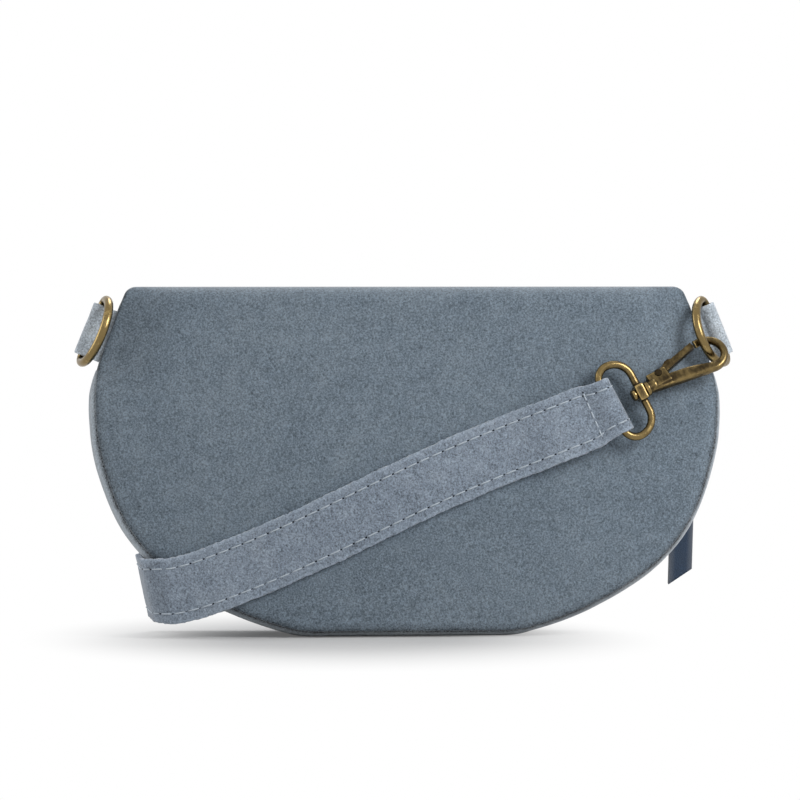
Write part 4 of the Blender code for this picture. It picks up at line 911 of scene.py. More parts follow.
def seam_gap(points):
    """Distance of points of a panel from its side and bottom seam."""
    line = at_length(OUTLINE, OUTLINE_RUN, np.linspace(0.0, OUTLINE_RUN[-1], 1000))
    line = np.vstack([columns(np.linspace(0.0, line[0, 0], 200), SEAM_LIFT), line])
    across, height = np.abs(points[..., 0]), points[..., 2]
    rough = np.minimum(width_at(height) - across, height - SEAM_LIFT)
    gap = np.full(across.shape, SEAM_REACH)
    for index in zip(*np.where(rough < 2.0 * SEAM_REACH)):
        gap[index] = np.min(np.hypot(line[:, 0] - across[index], line[:, 1] - height[index]))
    return gap


def tuck(points, side):
    """Curves a panel back into its seam, up to where the sides are pinched together."""
    share = np.clip(1.0 - seam_gap(points) / SEAM_REACH, 0.0, 1.0)
    open_part = 1.0 - ease((points[..., 2] - CUT_START) / (CUT_END - CUT_START))
    tucked = points.copy()
    tucked[..., 1] -= side * SEAM_SINK * share ** 2 * open_part
    return tucked


def make_panel(looks, name, node, side, rows, inward, room):
    """Panel with its seam edge rolled in and its edge beside the zip turned under."""
    weave = Weave()
    grid = weave.skin(rows)
    loop = edge_loop(grid, side)
    points = rows.reshape(-1, 3)[loop]
    away = (points - (0.0, 0.0, PANEL_MIDDLES[side])) * (1.0, 0.0, 1.0)
    depth = seam_depth(points, room.reshape(-1)[loop])
    roll_edge(weave, loop, inward.reshape(-1, 3)[loop], depth, LIP_BULGE, away)
    ring = grid[-1] if side < 0 else grid[0]
    under, beyond = (np.tile(way, (len(ring), 1)) for way in (-FRONT_OUT, side * FRONT_UP))
    roll_edge(weave, ring, under, ZIP_LIP_DEPTH, ZIP_LIP_BULGE, beyond)
    # The seam mark is painted shade: dark in the side seam, paler on the curve beside it.
    piece(
        looks, name, weave, "panel", "bag", [node], thickness=SHELL_LEATHER,
        facing=((0.0, side * HALF_DEPTH, PANEL_MIDDLES[side]), (0.0, side, 0.0)),
        wear_and_shade=painted_seam_shade(np.vstack(weave.points)))


def make_back_shell(looks):
    rows, inward, room = back_rows()
    rows = soften(rows, PANEL_SEEDS[-1])
    rows[:BACK_PLANE_ROWS] = tuck(rows[:BACK_PLANE_ROWS], -1)
    make_panel(looks, "back_shell", "back_panel", -1, rows, inward, room)


def make_front_shell(looks):
    shares = panel_shares()
    top = run_at(zip_edge_height(shares, -ZIP_OPENING))
    heights = height_at(blend(top, run_at(SEAM_LIFT), np.linspace(0.0, 1.0, 96)[:, None]))
    rows = wall_rows(1, shares, heights)
    inward = np.broadcast_to((0.0, -1.0, 0.0), rows.shape)
    room = rows[..., 1] - middle_y(rows[..., 2])
    rows = tuck(soften(rows, PANEL_SEEDS[1]), 1)
    make_panel(looks, "front_shell", "front_panel", 1, rows, inward, room)


def inner_face_y(side, height):
    slope = (wall_y(side, 1.0, height + SEAM_GAP) - wall_y(side, 1.0, height)) / SEAM_GAP
    spare = SEAM_GAP + CUT_GAP * ease((height - CUT_START + FOLD_RADIUS) / FOLD_RADIUS)
    return wall_y(side, 1.0, height) - side * (LEATHER + spare) * np.sqrt(1.0 + slope * slope)


def make_gusset(looks):
    """Side and bottom strip, swelling between the seams, with small puckers along them."""
    height = height_at(np.linspace(run_at(SEAM_LIFT), run_at(GUSSET_TOP), 130))
    right = columns(width_at(height), 0.0, height)
    base = columns(np.linspace(-right[0, 0], right[0, 0], 40)[1:-1], 0.0, SEAM_LIFT)
    line = np.vstack([right[::-1] * (-1.0, 1.0, 1.0), base, right])
    along = slopes(line)
    outward = columns(along[:, 2], 0.0, -along[:, 0])[:, None]
    back, front = inner_face_y(-1, line[:, 2]), inner_face_y(1, line[:, 2])
    bulge = GUSSET_BULGE * np.minimum(1.0, (front - back) / GUSSET_FULL_DEPTH)
    share = 0.5 - 0.5 * np.cos(np.linspace(0.0, math.pi, GUSSET_COLUMNS))
    edge = np.minimum(share, 1.0 - share)
    rise = np.sqrt(np.maximum(0.0, 1.0 - np.abs(2.0 * share - 1.0) ** 3.2))
    rows = line[:, None] + outward * (rise * (bulge + GUSSET_TUCK)[:, None] - GUSSET_TUCK)[..., None]
    rows[..., 1] = blend(back[:, None], front[:, None], share)
    ripple = uneven(columns(run_lengths(line)[:, None], rows[..., 1] * 0.25, 0.0), PUCKER_LENGTH, 8)
    sink = ripple * np.exp(-edge * 9.0) * PUCKER_DEPTH + uneven(rows, SWELL_LENGTH, 11) * SWELL_DEPTH
    rows += outward * (sink * ease(rows[..., 2] / FLOOR_RUN))[..., None]
    rows[..., 2] = np.maximum(rows[..., 2], FLOOR_REST)
    weave = Weave()
    weave.skin(rows)
    # Painted shade dark along both seams of the strip, with a paler band beside each.
    seam = np.exp(-((edge - 0.13) / 0.07) ** 2) - 3.6 * np.exp(-(edge / 0.045) ** 2)
    piece(
        looks, "gusset_strip", weave, "gusset", "bag", ["gusset"], thickness=SHELL_LEATHER,
        facing=((HALF_WIDTH, 0.0, GUSSET_WIDEST), (1.0, 0.0, 0.0)),
        wear_and_shade=np.tile(seam, len(line)))


def make_lining(looks):
    """Cloth bag inside, gathered a little where it is sewn to the tapes."""
    along = slopes(OUTLINE)
    inset = OUTLINE + columns(-along[:, 1], along[:, 0]) * LINING_INSET
    across = np.linspace(-1.0, 1.0, LINING_COLUMNS)
    part = np.linspace(0.0, 1.0, 40)[:, None]
    halves = []
    for side, shares in ((-1, across), (1, across[::-1])):
        rim = zip_edge_height(shares, LINING_REACH)
        if side < 0:
            edge = zip_edge_height(1.0, LINING_REACH)
            rim = blend(edge, LINING_BACK_TOP, np.sqrt(1.0 - shares * shares))
        height = blend(inset[0, 1], rim, part ** 1.7)
        x = shares * np.interp(height, inset[:, 1], inset[:, 0])
        y = wall_y(side, x / width_at(height), height) - side * (LEATHER + LINING_GAP)
        halves.append(columns(x, y, height))
    rows = np.concatenate(halves, axis=1)
    gather = np.abs(uneven(rows, GATHER_LENGTH, 21)) * GATHER_DEPTH + GATHER_LEAST
    rows[..., 1] += np.repeat((1.0, -1.0), LINING_COLUMNS) * gather
    weave = Weave()
    floor = weave.skin(rows, closed=True)[0]
    weave.quads(np.stack([floor[:LINING_COLUMNS], floor[:LINING_COLUMNS - 1:-1]]))
    piece(
        looks, "lining_bag", weave, "lining", "bag", ["lining"], thickness=LINING_CLOTH,
        facing=((0.0, -HALF_DEPTH, PANEL_MIDDLES[-1]), (0.0, -1.0, 0.0)))


# Zip

def make_tapes(looks):
    """The two cloth tapes of the zip, with a ribbed edge by the teeth."""
    shares = np.concatenate((np.linspace(0.0, 1.0, 13), np.linspace(1.0, 0.0, 4)))
    ribbed = TAPE_DEPTH - TAPE_RIB * np.sin(shares[:13] * math.pi * 6.0) ** 2
    depths = np.concatenate((ribbed, np.full(4, TAPE_DEPTH + TAPE)))
    for name, sign in (("upper", 1), ("lower", -1)):
        radii = ZIP_RADIUS + sign * blend(TAPE_START, TAPE_REACH, shares)
        angles = np.linspace(-1.0, 1.0, 180)[:, None] * np.arcsin(TAPE_END / radii)
        weave = Weave()
        weave.skin(
            columns(radii * np.sin(angles), ZIP_CENTRE + radii * np.cos(angles), depths),
            closed=True, capped=True)
        piece(looks, "tape_" + name, weave, "tape", "bag", ["zip_tape_" + name], FRONT_PLACE)


def rounded_loop(left, right, half, left_round, right_round, steps):
    """Closed rounded rectangle in the XZ plane."""
    corners = (
        ((right - right_round, right_round - half), right_round, -90.0),
        ((right - right_round, half - right_round), right_round, 0.0),
        ((left + left_round, half - left_round), left_round, 90.0),
        ((left + left_round, left_round - half), left_round, 180.0),
    )
    spots = np.vstack([arc(centre, radius, start, start + 90.0, steps) for centre, radius, start in corners])
    return columns(spots[:, 0], 0.0, spots[:, 1])


def even_loop(points, count):
    """The same closed line with its points spread evenly."""
    line = np.vstack([points, points[:1]])
    lengths = run_lengths(line)
    keep = np.concatenate(([True], np.diff(lengths) > 1e-9))
    return at_length(line[keep], lengths[keep], np.linspace(0.0, lengths[-1], count, endpoint=False))


def keyhole(eye, leather, reach, stations):
    """Outer and inner profile of a strip folded round a bar, eye at the origin and both ends towards -X."""
    profiles = []
    for way, radius, edge in ((1.0, eye + leather, LAYER_GAP / 2 + leather), (-1.0, eye, LAYER_GAP / 2)):
        lean = math.degrees(math.asin(edge / radius))
        legs = columns(-np.append(stations, reach)[::-1], way * edge)
        bend = arc((0.0, 0.0), radius, way * (180.0 - lean), way * (lean - 180.0), 27)
        profiles.append(np.vstack([legs, bend, legs[::-1] * (1.0, -1.0)]))
    return profiles


def folded_leather(outer, inner, shares, inset, half, shift=0.0, fray=0.0, seed=1):
    """Strip folded round a bar, its width along Z, and how much edge wear each point has."""
    profile = np.vstack([outer, inner])
    lean = slopes(np.vstack([profile, profile[:1]]))[:-1]
    normal = columns(lean[:, 1], -lean[:, 0])
    crest = len(outer) // 2
    if np.dot(normal[crest], profile[crest]) < 0.0:
        normal = -normal
    rings = []
    for share, drop in zip(shares, inset):
        spot = np.column_stack((profile - normal * drop, share * half))
        spot[:, 0] += share * shift
        spot[:, :2] += normal * (uneven(spot, CREASE_LENGTH, seed) * fray * 0.5)[:, None]
        at_edge = np.sign(share) * ease((abs(share) - 0.93) / 0.07)
        spot[:, 2] += at_edge * uneven(spot, FRAY_LENGTH, seed) * fray
        rings.append(spot)
    weave = Weave()
    grid = weave.skin(rings, closed=True)
    split = len(outer)
    for ring in (grid[0], grid[-1]):
        weave.quads(np.array([ring[:split], ring[split:][::-1]]))
    return weave, np.repeat(ease((np.abs(shares) - 0.8) / 0.2), len(profile))


def make_pull(looks):
    """Wire link and the folded navy leather that hangs in it."""
    travel = 0.5 * STOP_LENGTH + 0.5 * SLIDER_LENGTH + SLIDER_CLEAR
    angle = math.asin(ZIP_END / ZIP_RADIUS) - travel / ZIP_RADIUS
    level = SLIDER_TOP + SLIDER_CLEAR + LINK_WIRE
    spot = (ZIP_RADIUS * math.sin(angle), ZIP_CENTRE + ZIP_RADIUS * math.cos(angle), -level)
    slope = math.degrees(math.atan2(LINK_OUT, LINK_LENGTH))
    link = FRONT_PLACE @ Matrix.Translation(spot) @ turned(slope, "X")
    weave = Weave()
    loop = rounded_loop(-LINK_LENGTH, 0.0, LINK_HALF_WIDTH, LINK_CORNER, LINK_CORNER, 8)
    weave.tube(even_loop(loop[:, [2, 0, 1]], 72), LINK_WIRE, 12, (0.0, 0.0, 1.0), closed=True)
    piece(looks, "link_wire", weave, "brass_zip", "link", ["pull_link"], link)
    outer, inner = keyhole(
        PULL_EYE, PULL_LEATHER, PULL_LENGTH, np.linspace(PULL_NECK, PULL_LENGTH - PULL_END, 26))
    reach = -np.vstack([outer, inner])[:, 0]
    shoulder = ease((reach - PULL_NECK) / (PULL_SHOULDER - PULL_NECK))
    half = blend(PULL_NECK_HALF_WIDTH, PULL_HALF_WIDTH, shoulder)
    slant = PULL_SLANT * ease((reach - PULL_LENGTH + PULL_SLANT_RUN) / PULL_SLANT_RUN)
    shares = np.array((-1.0, -0.97, -0.9, -0.45, 0.0, 0.45, 0.9, 0.97, 1.0))
    inset = PULL_EDGE + (0.0, 0.0, 0.0) + PULL_EDGE[::-1]
    weave, wear_and_shade = folded_leather(outer, inner, shares, inset, half, slant)
    hung = link @ Matrix.Translation((0.0, -LINK_LENGTH, 0.0)) @ turned(-slope, "X")
    hung = hung @ turned(90.0 - PULL_LEAN, "Z") @ turned(90.0, "X")
    piece(
        looks, "pull_leather", weave, "pull", "pull", ["pull_tab"], hung, wear_and_shade=wear_and_shade)


# Tabs and rings

def tab_place(side):
    sign, turn = (1, -TAB_TILT) if side == "right" else (-1, 180.0 + TAB_TILT)
    return Matrix.Translation((sign * TAB_X, TAB_Y, TAB_Z)) @ turned(turn, "Y")


def make_tab(looks, side):
    """Loop of soft suede that holds the ring, its raw edges a little frayed."""
    outer, inner = keyhole(TAB_EYE, TAB_LEATHER, TAB_REACH, np.linspace(TAB_NECK, TAB_REACH - TAB_END, 12))
    shares = np.concatenate(([-1.0, -0.985], np.linspace(-0.95, 0.95, 25), [0.985, 1.0]))
    inset = np.zeros(len(shares))
    inset[[0, 1, -2, -1]] = TAB_EDGE + TAB_EDGE[::-1]
    weave, wear_and_shade = folded_leather(
        outer, inner, shares, inset, np.full(len(outer) + len(inner), TAB_HALF_WIDTH), fray=TAB_FRAY,
        seed={"left": 30, "right": 32}[side])
    piece(
        looks, "tab_loop_" + side, weave, "tab", "bag", ["tab_" + side], tab_place(side),
        wear_and_shade=wear_and_shade)


def make_ring(looks, side):
    line = np.vstack([
        arc((RING_CORNER, RING_HALF_WIDTH - RING_CORNER), RING_CORNER, 180.0, 90.0, 9),
        arc((RING_LEG, 0.0), RING_HALF_WIDTH, 90.0, -90.0, 59)[1:],
        arc((RING_CORNER, RING_CORNER - RING_HALF_WIDTH), RING_CORNER, 270.0, 180.0, 9)[1:]])
    weave = Weave()
    loop = even_loop(columns(line[:, 0], 0.0, line[:, 1]), 112)
    weave.tube(loop, RING_WIRE, 20, (0.0, 1.0, 0.0), closed=True)
    mesh = weave.mesh("d_ring_" + side)
    mark_wear_and_hollow_shade(mesh, 2)
    place = tab_place(side) @ turned(-90.0 - RING_TURNS[side], "Z")
    piece(looks, "d_ring_" + side, mesh, "brass", side + "_ring", ["ring_" + side], place)


# Trigger snaps

def snap_frames(letter):
    """Frames of a snap's loop and of its swivelling body, as in the solids."""
    base = Matrix.Translation(BAR_B)
    if letter == "a":
        bar, along, outward, across = bar_frame()
        base = Matrix.Translation(bar) @ Matrix((along, -outward, across)).transposed().to_4x4()
        base = base @ turned(HOOK_LEAN, "Z")
    return base, base @ turned(SNAP_TURNS[letter], "X")


def bored(name, start, end, radius, sides):
    """Round rod that is taken out of a casting."""
    rod = Weave()
    rod.tube((start, end), radius, sides, (0.31, 0.17, 0.93))
    return rod.mesh(name)


def fused(weave, name, voxel, smoothing, cutters):
    """One skin round closed shapes, with cutters taken out, the edges softened, and its wear and painted
    hollow shade marked.
    """
    holder = linked(name + "_work", weave.mesh(name))
    skin = holder.modifiers.new("skin", "REMESH")
    skin.mode = "VOXEL"
    skin.voxel_size = voxel
    helpers = [linked(cutter.name, cutter) for cutter in cutters]
    for helper in helpers:
        cut = holder.modifiers.new("cut", "BOOLEAN")
        cut.operation = "DIFFERENCE"
        cut.solver = "EXACT"
        cut.object = helper
    even = holder.modifiers.new("even", "SMOOTH")
    even.factor = 0.5
    even.iterations = smoothing
    graph = bpy.context.evaluated_depsgraph_get()
    made = bpy.data.meshes.new_from_object(holder.evaluated_get(graph))
    for thing in (holder, *helpers):
        bpy.data.objects.remove(thing)
    mark_wear_and_hollow_shade(made)
    return made


def snap_body_mesh():
    """Stud, barrel, cheeks, arm, bow and nose of a snap, cut out for its gate and rivet."""
    front = LOOP_LENGTH + EYE_HALF_LENGTH + EYE_CLEAR
    back = LOOP_LENGTH - EYE_HALF_LENGTH - EYE_CLEAR
    end = front + BARREL_LENGTH
    first, second, third, last = BARREL_RINGS
    profile = np.array((
        (back - STUD_LENGTH, STUD_RADIUS * 0.55), (back - STUD_LENGTH * 0.8, STUD_RADIUS * 0.9),
        (back - STUD_LENGTH * 0.4, STUD_RADIUS), (back, STUD_RADIUS * 0.95), (back + STEM_STEP, STEM_RADIUS),
        (front - STEM_STEP, STEM_RADIUS), (front, BARREL_RADIUS * 0.92), (front + first, BARREL_RADIUS),
        (front + second, BARREL_RADIUS), (front + third, BARREL_RADIUS * 0.86),
        (end - last, BARREL_RADIUS * 0.9), (end, BARREL_RADIUS * 0.8)))
    weave = Weave()
    weave.tube(columns(profile[:, 0], 0.0, 0.0), profile[:, 1], 40, (0.0, 1.0, 0.0))
    weave.block(
        (end - BARREL_LENGTH * BARREL_SEAT, -CHEEK_HALF, -CHEEK_LOW),
        (PIVOT_ALONG + CHEEK_LENGTH, CHEEK_HALF, CHEEK_HIGH), CHEEK_ROUND)
    bow = arc((BOW_ALONG, BOW_UP), BOW_RADIUS, -90.0, 90.0, 39)
    arm = blend(np.array((ARM_START, ARM_START_LOW)), bow[0], np.linspace(0.0, 1.0, 22)[:-1, None])
    line = np.vstack([arm, bow, [(NOSE_ALONG, BOW_UP + BOW_RADIUS)]])
    line = columns(line[:, 0], 0.0, line[:, 1])
    share = ease((run_lengths(line) - ARM_ROUND_START) / ARM_ROUND_RUN)
    high = blend(ARM_ROOT_HALF, ARM_WIRE, share)
    line[:, 2] += high - ARM_WIRE
    thick = blend(ARM_ROOT_THICK, ARM_WIRE, share)
    weave.tube(line, high, 24, (0.0, 1.0, 0.0), wide=thick, power=blend(5.0, 2.0, share))
    slot = Weave()
    slot.block(
        (PIVOT_ALONG - GATE_ROOT - EYE_CLEAR, -GATE_SLOT_HALF, 0.0),
        (PIVOT_ALONG + 3.0 * CHEEK_LENGTH, GATE_SLOT_HALF, 2.0 * CHEEK_HIGH), GATE_SLOT_ROUND, 1)
    wide = 2.0 * CHEEK_HALF
    bore = bored("bore", (PIVOT_ALONG, -wide, PIVOT_UP), (PIVOT_ALONG, wide, PIVOT_UP), RIVET_HOLE, 24)
    return fused(weave, "snap_body", BODY_VOXEL, 2, (slot.mesh("slot"), bore))


def snap_loop_mesh():
    """Wire loop that the strap holds, with the pierced block in its front bar."""
    loop = rounded_loop(0.0, LOOP_LENGTH, LOOP_HALF_WIDTH, LOOP_BACK_CORNER, LOOP_FRONT_CORNER, 14)
    weave = Weave()
    weave.tube(even_loop(loop, 150), LOOP_WIRE, 20, (0.0, 1.0, 0.0), closed=True)
    weave.block(
        (LOOP_LENGTH - EYE_HALF_LENGTH, -EYE_RADIUS * EYE_FLAT, -EYE_RADIUS),
        (LOOP_LENGTH + EYE_HALF_LENGTH, EYE_RADIUS * EYE_FLAT, EYE_RADIUS), EYE_ROUND, 3)
    reach = 3.0 * EYE_HALF_LENGTH
    hole = bored("hole", (LOOP_LENGTH - reach, 0.0, 0.0), (LOOP_LENGTH + reach, 0.0, 0.0), EYE_HOLE, 28)
    return fused(weave, "snap_loop", LOOP_VOXEL, 3, (hole,))


def make_snaps(looks):
    meshes = (snap_loop_mesh(), snap_body_mesh())
    kinds = (("wire_loop", "_loop", "_loop"), ("cast_body", "", "_body"))
    for letter in "ab":
        for (name, body, node), mesh, place in zip(kinds, meshes, snap_frames(letter)):
            piece(
                looks, f"snap_{letter}_{name}", mesh.copy(), "brass", f"snap_{letter}{body}",
                [f"hook_{letter}{node}"], place)


# Strap

def back_face(x, z):
    """Point on the outer face of the back and the outward direction there."""
    held = float(np.clip(x / width_at(z), -1.0, 1.0))
    here = float(wall_y(-1, held, z))
    rise = (float(wall_y(-1, held, z + SEAM_GAP)) - here) / SEAM_GAP
    run = (float(wall_y(-1, held + 0.01, z)) - here) / (0.01 * float(width_at(z)))
    return Vector((x, here, z)), Vector((run, -1.0, rise)).normalized()


def tilted(angle):
    return Vector((-math.sin(math.radians(angle)), 0.0, math.cos(math.radians(angle))))


def strap_line():
    """Middle of the strap across the back, moved so that it starts at the clipped snap."""
    points = np.array([(HALF_WIDTH * across, BODY_TOP * high) for across, high in STRAP_SHARES])
    shift = np.array((TAB_X - SNAP_REACH, TAB_Z - SNAP_DROP)) - points[0]
    return catmull(points + shift * np.linspace(1.0, 0.0, len(points))[:, None], 10)


def bar_frame():
    """Middle of the clipped snap's bar, with the directions along, out of and across the strap there."""
    foot, outward = back_face(*strap_line()[0])
    across = tilted(HOOK_RISE)
    across = (across - outward * across.dot(outward)).normalized()
    return foot + outward * BAR_LIFT, across.cross(outward), outward, across


def back_layer_lift(distance):
    return CONTACT + STRAP_END_LIFT * float(ease(1.0 - distance / STRAP_END_RUN))


def front_layer_lift(distance):
    closing = blend(2 * FOLD_BEND, STRAP_LEATHER + LAYER_GAP, float(ease(distance / STRAP_CLOSE)))
    dropping = float(ease((distance - STRAP_DROP_START) / (STRAP_DROP_END - STRAP_DROP_START)))
    return back_layer_lift(distance) + closing * (1.0 - dropping)


def strap_stations():
    """Middle points of the strap with the direction across it, as in the solids."""
    bar, along, outward, across = bar_frame()
    line = strap_line()
    distance = run_lengths(line)
    stations = []
    for (x, z), run in zip(line, distance):
        if 0.0 < run <= STRAP_FOLD_BACK:
            foot, face = back_face(x, z)
            stations.append((foot + face * back_layer_lift(run), across))
    stations = stations[::3][::-1]
    for angle in np.linspace(0.0, math.pi, 11):
        bend = along * math.sin(angle) - outward * math.cos(angle)
        stations.append((bar + bend * FOLD_BEND, across))
    for index in range(2, len(line), 3):
        foot, face = back_face(*line[index])
        ahead = line[min(index + 1, len(line) - 1)] - line[index - 1]
        wide = Vector((ahead[0], 0.0, ahead[1])).normalized().cross(face).normalized()
        if wide.z < 0.0:
            wide = -wide
        leftward = -line[index][0] / HALF_WIDTH
        wide.y *= 1.0 - float(ease((leftward - TURN_UPRIGHT_AT) / TURN_EASE))
        parting = TURN_LIFT * float(ease((leftward - TURN_PARTS_AT) / TURN_EASE))
        stations.append((foot + face * (front_layer_lift(distance[index]) + parting), wide))
    return stations + turn_stations(stations[-1][0]) + end_fold()


def plan(spots, levels, tilts):
    """Strap stations over spots in plan, easing from one level and tilt to the next."""
    part = []
    for share, (x, y) in zip(np.linspace(0.0, 1.0, len(spots)), spots):
        part.append((Vector((x, y, blend(*levels, float(ease(share))))), tilted(blend(*tilts, share))))
    return part


def turn_stations(last):
    """Strap round the left edge, and behind the bag in a short hank."""
    side_y = last.y + TURN_RADIUS
    rear_y = TURN_OUT_Y + TURN_RADIUS
    second_y = rear_y + 2 * HANK_RADIUS
    flat = (last.z, last.z)
    one, two, three, four = TURN_TILTS
    turn_x = HALF_WIDTH * STRAP_SHARES[-1][0]
    left = turn_x - TURN_RADIUS
    first_end, second_end = (RUN_ONE_END, rear_y + HANK_RADIUS), (-RUN_TWO_END, second_y + HANK_RADIUS)
    part = plan(arc((turn_x, side_y), TURN_RADIUS, 270.0, 180.0, 8), flat, (one, two))[1:]
    part += plan(np.linspace((left, side_y), (left, TURN_OUT_Y), 5), flat, (two, three))[1:-1]
    part += plan(arc((turn_x, TURN_OUT_Y), TURN_RADIUS, 180.0, 90.0, 8), flat, (three, four))
    part += plan(
        np.linspace((turn_x, rear_y), (RUN_ONE_END, rear_y), 21), (last.z, RUN_ONE_Z), (four, four))[1:-1]
    part += plan(arc(first_end, HANK_RADIUS, -90.0, 90.0, 10), (RUN_ONE_Z, RUN_ONE_Z), (four, four))
    part += plan(
        np.linspace((RUN_ONE_END, second_y), (-RUN_TWO_END, second_y), 13), (RUN_ONE_Z, RUN_THREE_Z),
        (four, 0.0))[1:-1]
    return part + plan(arc(second_end, HANK_RADIUS, 270.0, 90.0, 10), (RUN_THREE_Z, RUN_THREE_Z), (0.0, 0.0))


def end_fold():
    """Last run of the strap and its fold round the bar of the second snap."""
    bar_x, middle, _ = BAR_B
    close = bar_x - STRAP_CLOSE
    quarters = np.arange(4) / 4
    spots = np.vstack([
        columns(blend(-RUN_TWO_END, close, quarters[1:]), THIRD_Y),
        columns(blend(close, bar_x, quarters), middle - blend(LAYER, FOLD_BEND, ease(quarters))),
        arc((bar_x, middle), FOLD_BEND, -90.0, 90.0, 10),
        columns(
            blend(bar_x, close, quarters + 0.25), middle + blend(FOLD_BEND, LAYER, ease(quarters + 0.25))),
        columns(blend(close, bar_x - STRAP_FOLD_BACK, np.array((0.5, 1.0))), middle + LAYER)])
    return plan(spots, (RUN_THREE_Z, RUN_THREE_Z), (0.0, 0.0))


class Strap:
    """The strap's line, resampled evenly, with its frames and half widths."""

    def __init__(self):
        stations = strap_stations()
        line, hints = (catmull([item[:] for item in items], 6) for items in zip(*stations))
        lengths = run_lengths(line)
        keep = np.concatenate(([True], np.diff(lengths) > 1e-7))
        line, hints, lengths = line[keep], hints[keep], lengths[keep]
        self.length = lengths[-1]
        self.run = np.linspace(0.0, self.length, int(self.length / STRAP_STEP))
        self.middle = at_length(line, lengths, self.run)
        hint = at_length(hints, lengths, self.run)
        along = slopes(self.middle)
        self.across = unit(hint - np.sum(hint * along, axis=1, keepdims=True) * along)
        self.out = np.cross(along, self.across)
        self.bars = np.array([bar_frame()[0][:], BAR_B])
        near = np.min(np.linalg.norm(self.middle[:, None] - self.bars, axis=2), axis=1)
        self.half = blend(STRAP_FOLD_HALF_WIDTH, STRAP_HALF_WIDTH, ease((near - FOLD_BEND) / STRAP_NARROW))

    def spot(self, run, across, lift):
        """Points at lengths along the strap, off its middle by across and out by lift."""
        middle, side, out = (
            at_length(values, self.run, run) for values in (self.middle, self.across, self.out))
        return middle + side * np.broadcast_to(across, run.shape)[:, None] + out * lift

    def cross_rows(self):
        """Rows sewn across the strap beside each folded end, as lengths and faces."""
        rows = []
        for bar in self.bars:
            apart = np.linalg.norm(self.middle - bar, axis=1)
            turn = np.argmin(apart)
            near = np.where(np.abs(apart - CROSS_FROM_BAR) < CROSS_SLACK)[0]
            for group in np.split(near, np.where(np.diff(near) > 3)[0] + 1):
                if len(group) and abs(group[len(group) // 2] - turn) < 40:
                    spot = group[len(group) // 2]
                    face = np.sign(np.dot(self.out[spot], self.middle[spot] - bar)) or 1.0
                    rows.append((self.run[spot], face))
        return rows


def make_strap(looks):
    """Laminated suede strap: soft raw edges, and a furrow where each row of stitches pulls in."""
    strap = Strap()
    level = STRAP_LEATHER / 2 + STRAP_LEVELS
    face = np.concatenate((level, [STRAP_LEATHER / 2 + STRAP_DOME], level[::-1]))
    high = np.concatenate((face, -face))
    edges = np.tile(np.concatenate((STRAP_INSETS, [0.0], STRAP_INSETS[::-1])), 2)
    right = np.repeat((1.0, 0.0, -1.0), (len(level), 1, len(level)))
    sides = np.concatenate((right, -right))
    across = sides * (strap.half[:, None] - edges)
    rows = strap.middle[:, None] + strap.across[:, None] * across[..., None]
    rows = rows + strap.out[:, None] * high[:, None]
    at_edge = (edges < STRAP_EDGE) & (sides != 0.0)
    fray = uneven(rows, STRAP_FRAY_LENGTH, 51) * STRAP_FRAY
    fray += uneven(rows, STRAP_DRIFT_LENGTH, 52) * STRAP_DRIFT
    wave = uneven(rows, STRAP_WAVE_LENGTH, 53) * STRAP_WAVE
    rows += strap.across[:, None] * (sides * at_edge * fray)[..., None]
    rows += strap.out[:, None] * wave[..., None]
    weave = Weave()
    weave.skin(rows, closed=True, capped=True)
    tone = np.where(sides == 0.0, 0.0, 1.0 - ease(edges / STRAP_EDGE_TONE))
    piece(
        looks, "belt_strap", weave, "strap", "bag", ["strap"],
        wear_and_shade=np.tile(tone, len(rows)))
    make_strap_stitches(looks, strap)


# Stitches

class Sewing:
    """Threads and needle holes of some rows of stitches."""

    def __init__(self):
        self.threads = Weave()
        self.holes = Weave()

    def row(self, line, face, pitch, width):
        """Stitches along a line of points on a face, with a needle hole at each end."""
        lengths = run_lengths(line)
        count = max(1, int(round(lengths[-1] / pitch)))
        step = lengths[-1] / count
        for index in range(count):
            runs = np.linspace(index * step + 0.09 * step, (index + 1) * step - 0.09 * step, 7)
            ways = unit(at_length(face, lengths, runs))
            spots = at_length(line, lengths, runs) + ways * (THREAD_RISE * width)[:, None]
            self.threads.tube(spots, THREAD_SWELL * width / 2, 7, ways[3])
        for run in np.arange(count + 1) * step:
            ends = [max(run - HOLE_SLOPE_STEP, 0.0), min(run + HOLE_SLOPE_STEP, lengths[-1])]
            before, after = at_length(line, lengths, ends)
            way = unit(at_length(face, lengths, [run]))[0]
            self.hole(at_length(line, lengths, [run])[0], way, unit(after - before), width * 0.66)

    def hole(self, spot, way, along, radius):
        """Small dent where the needle went through, nearly black with painted shade."""
        cosine, sine = np.cos(full_turn(10))[:, None], np.sin(full_turn(10))[:, None]
        ring = way * HOLE_RIM + radius * (1.25 * cosine * along + 0.85 * sine * np.cross(way, along))
        base = spot - way * HOLE_DEPTH + 0.8 * ring
        self.holes.skin([base, spot + ring], closed=True, capped=True)

    def pieces(self, looks, name, finish):
        for kind, weave, look in (("stitches", self.threads, finish), ("needle_holes", self.holes, "hole")):
            piece(looks, f"{name}_{kind}", weave, look, "bag")


def make_strap_stitches(looks, strap):
    sewing = Sewing()
    thick = STRAP_LEATHER / 2 - STITCH_SINK
    runs = np.arange(STITCH_END, strap.length - STITCH_END, STITCH_LINE_STEP)
    half = np.interp(runs, strap.run, strap.half)
    out = at_length(strap.out, strap.run, runs)
    for face in (1.0, -1.0):
        for side in (1.0, -1.0):
            line = strap.spot(runs, side * (half - STITCH_INSET), face * thick)
            sewing.row(line, out * face, looks.stitch_pitch, looks.thread_width)
    across = np.linspace(-1.0, 1.0, 40) * (STRAP_FOLD_HALF_WIDTH - CROSS_INSET)
    for run, face in strap.cross_rows():
        line = strap.spot(np.full(40, run), across, face * (thick + CROSS_LIFT))
        way = np.repeat(at_length(strap.out, strap.run, [run]), 40, axis=0) * face
        sewing.row(line, way, looks.stitch_pitch * 0.75, looks.thread_width)
    sewing.pieces(looks, "strap", "thread")


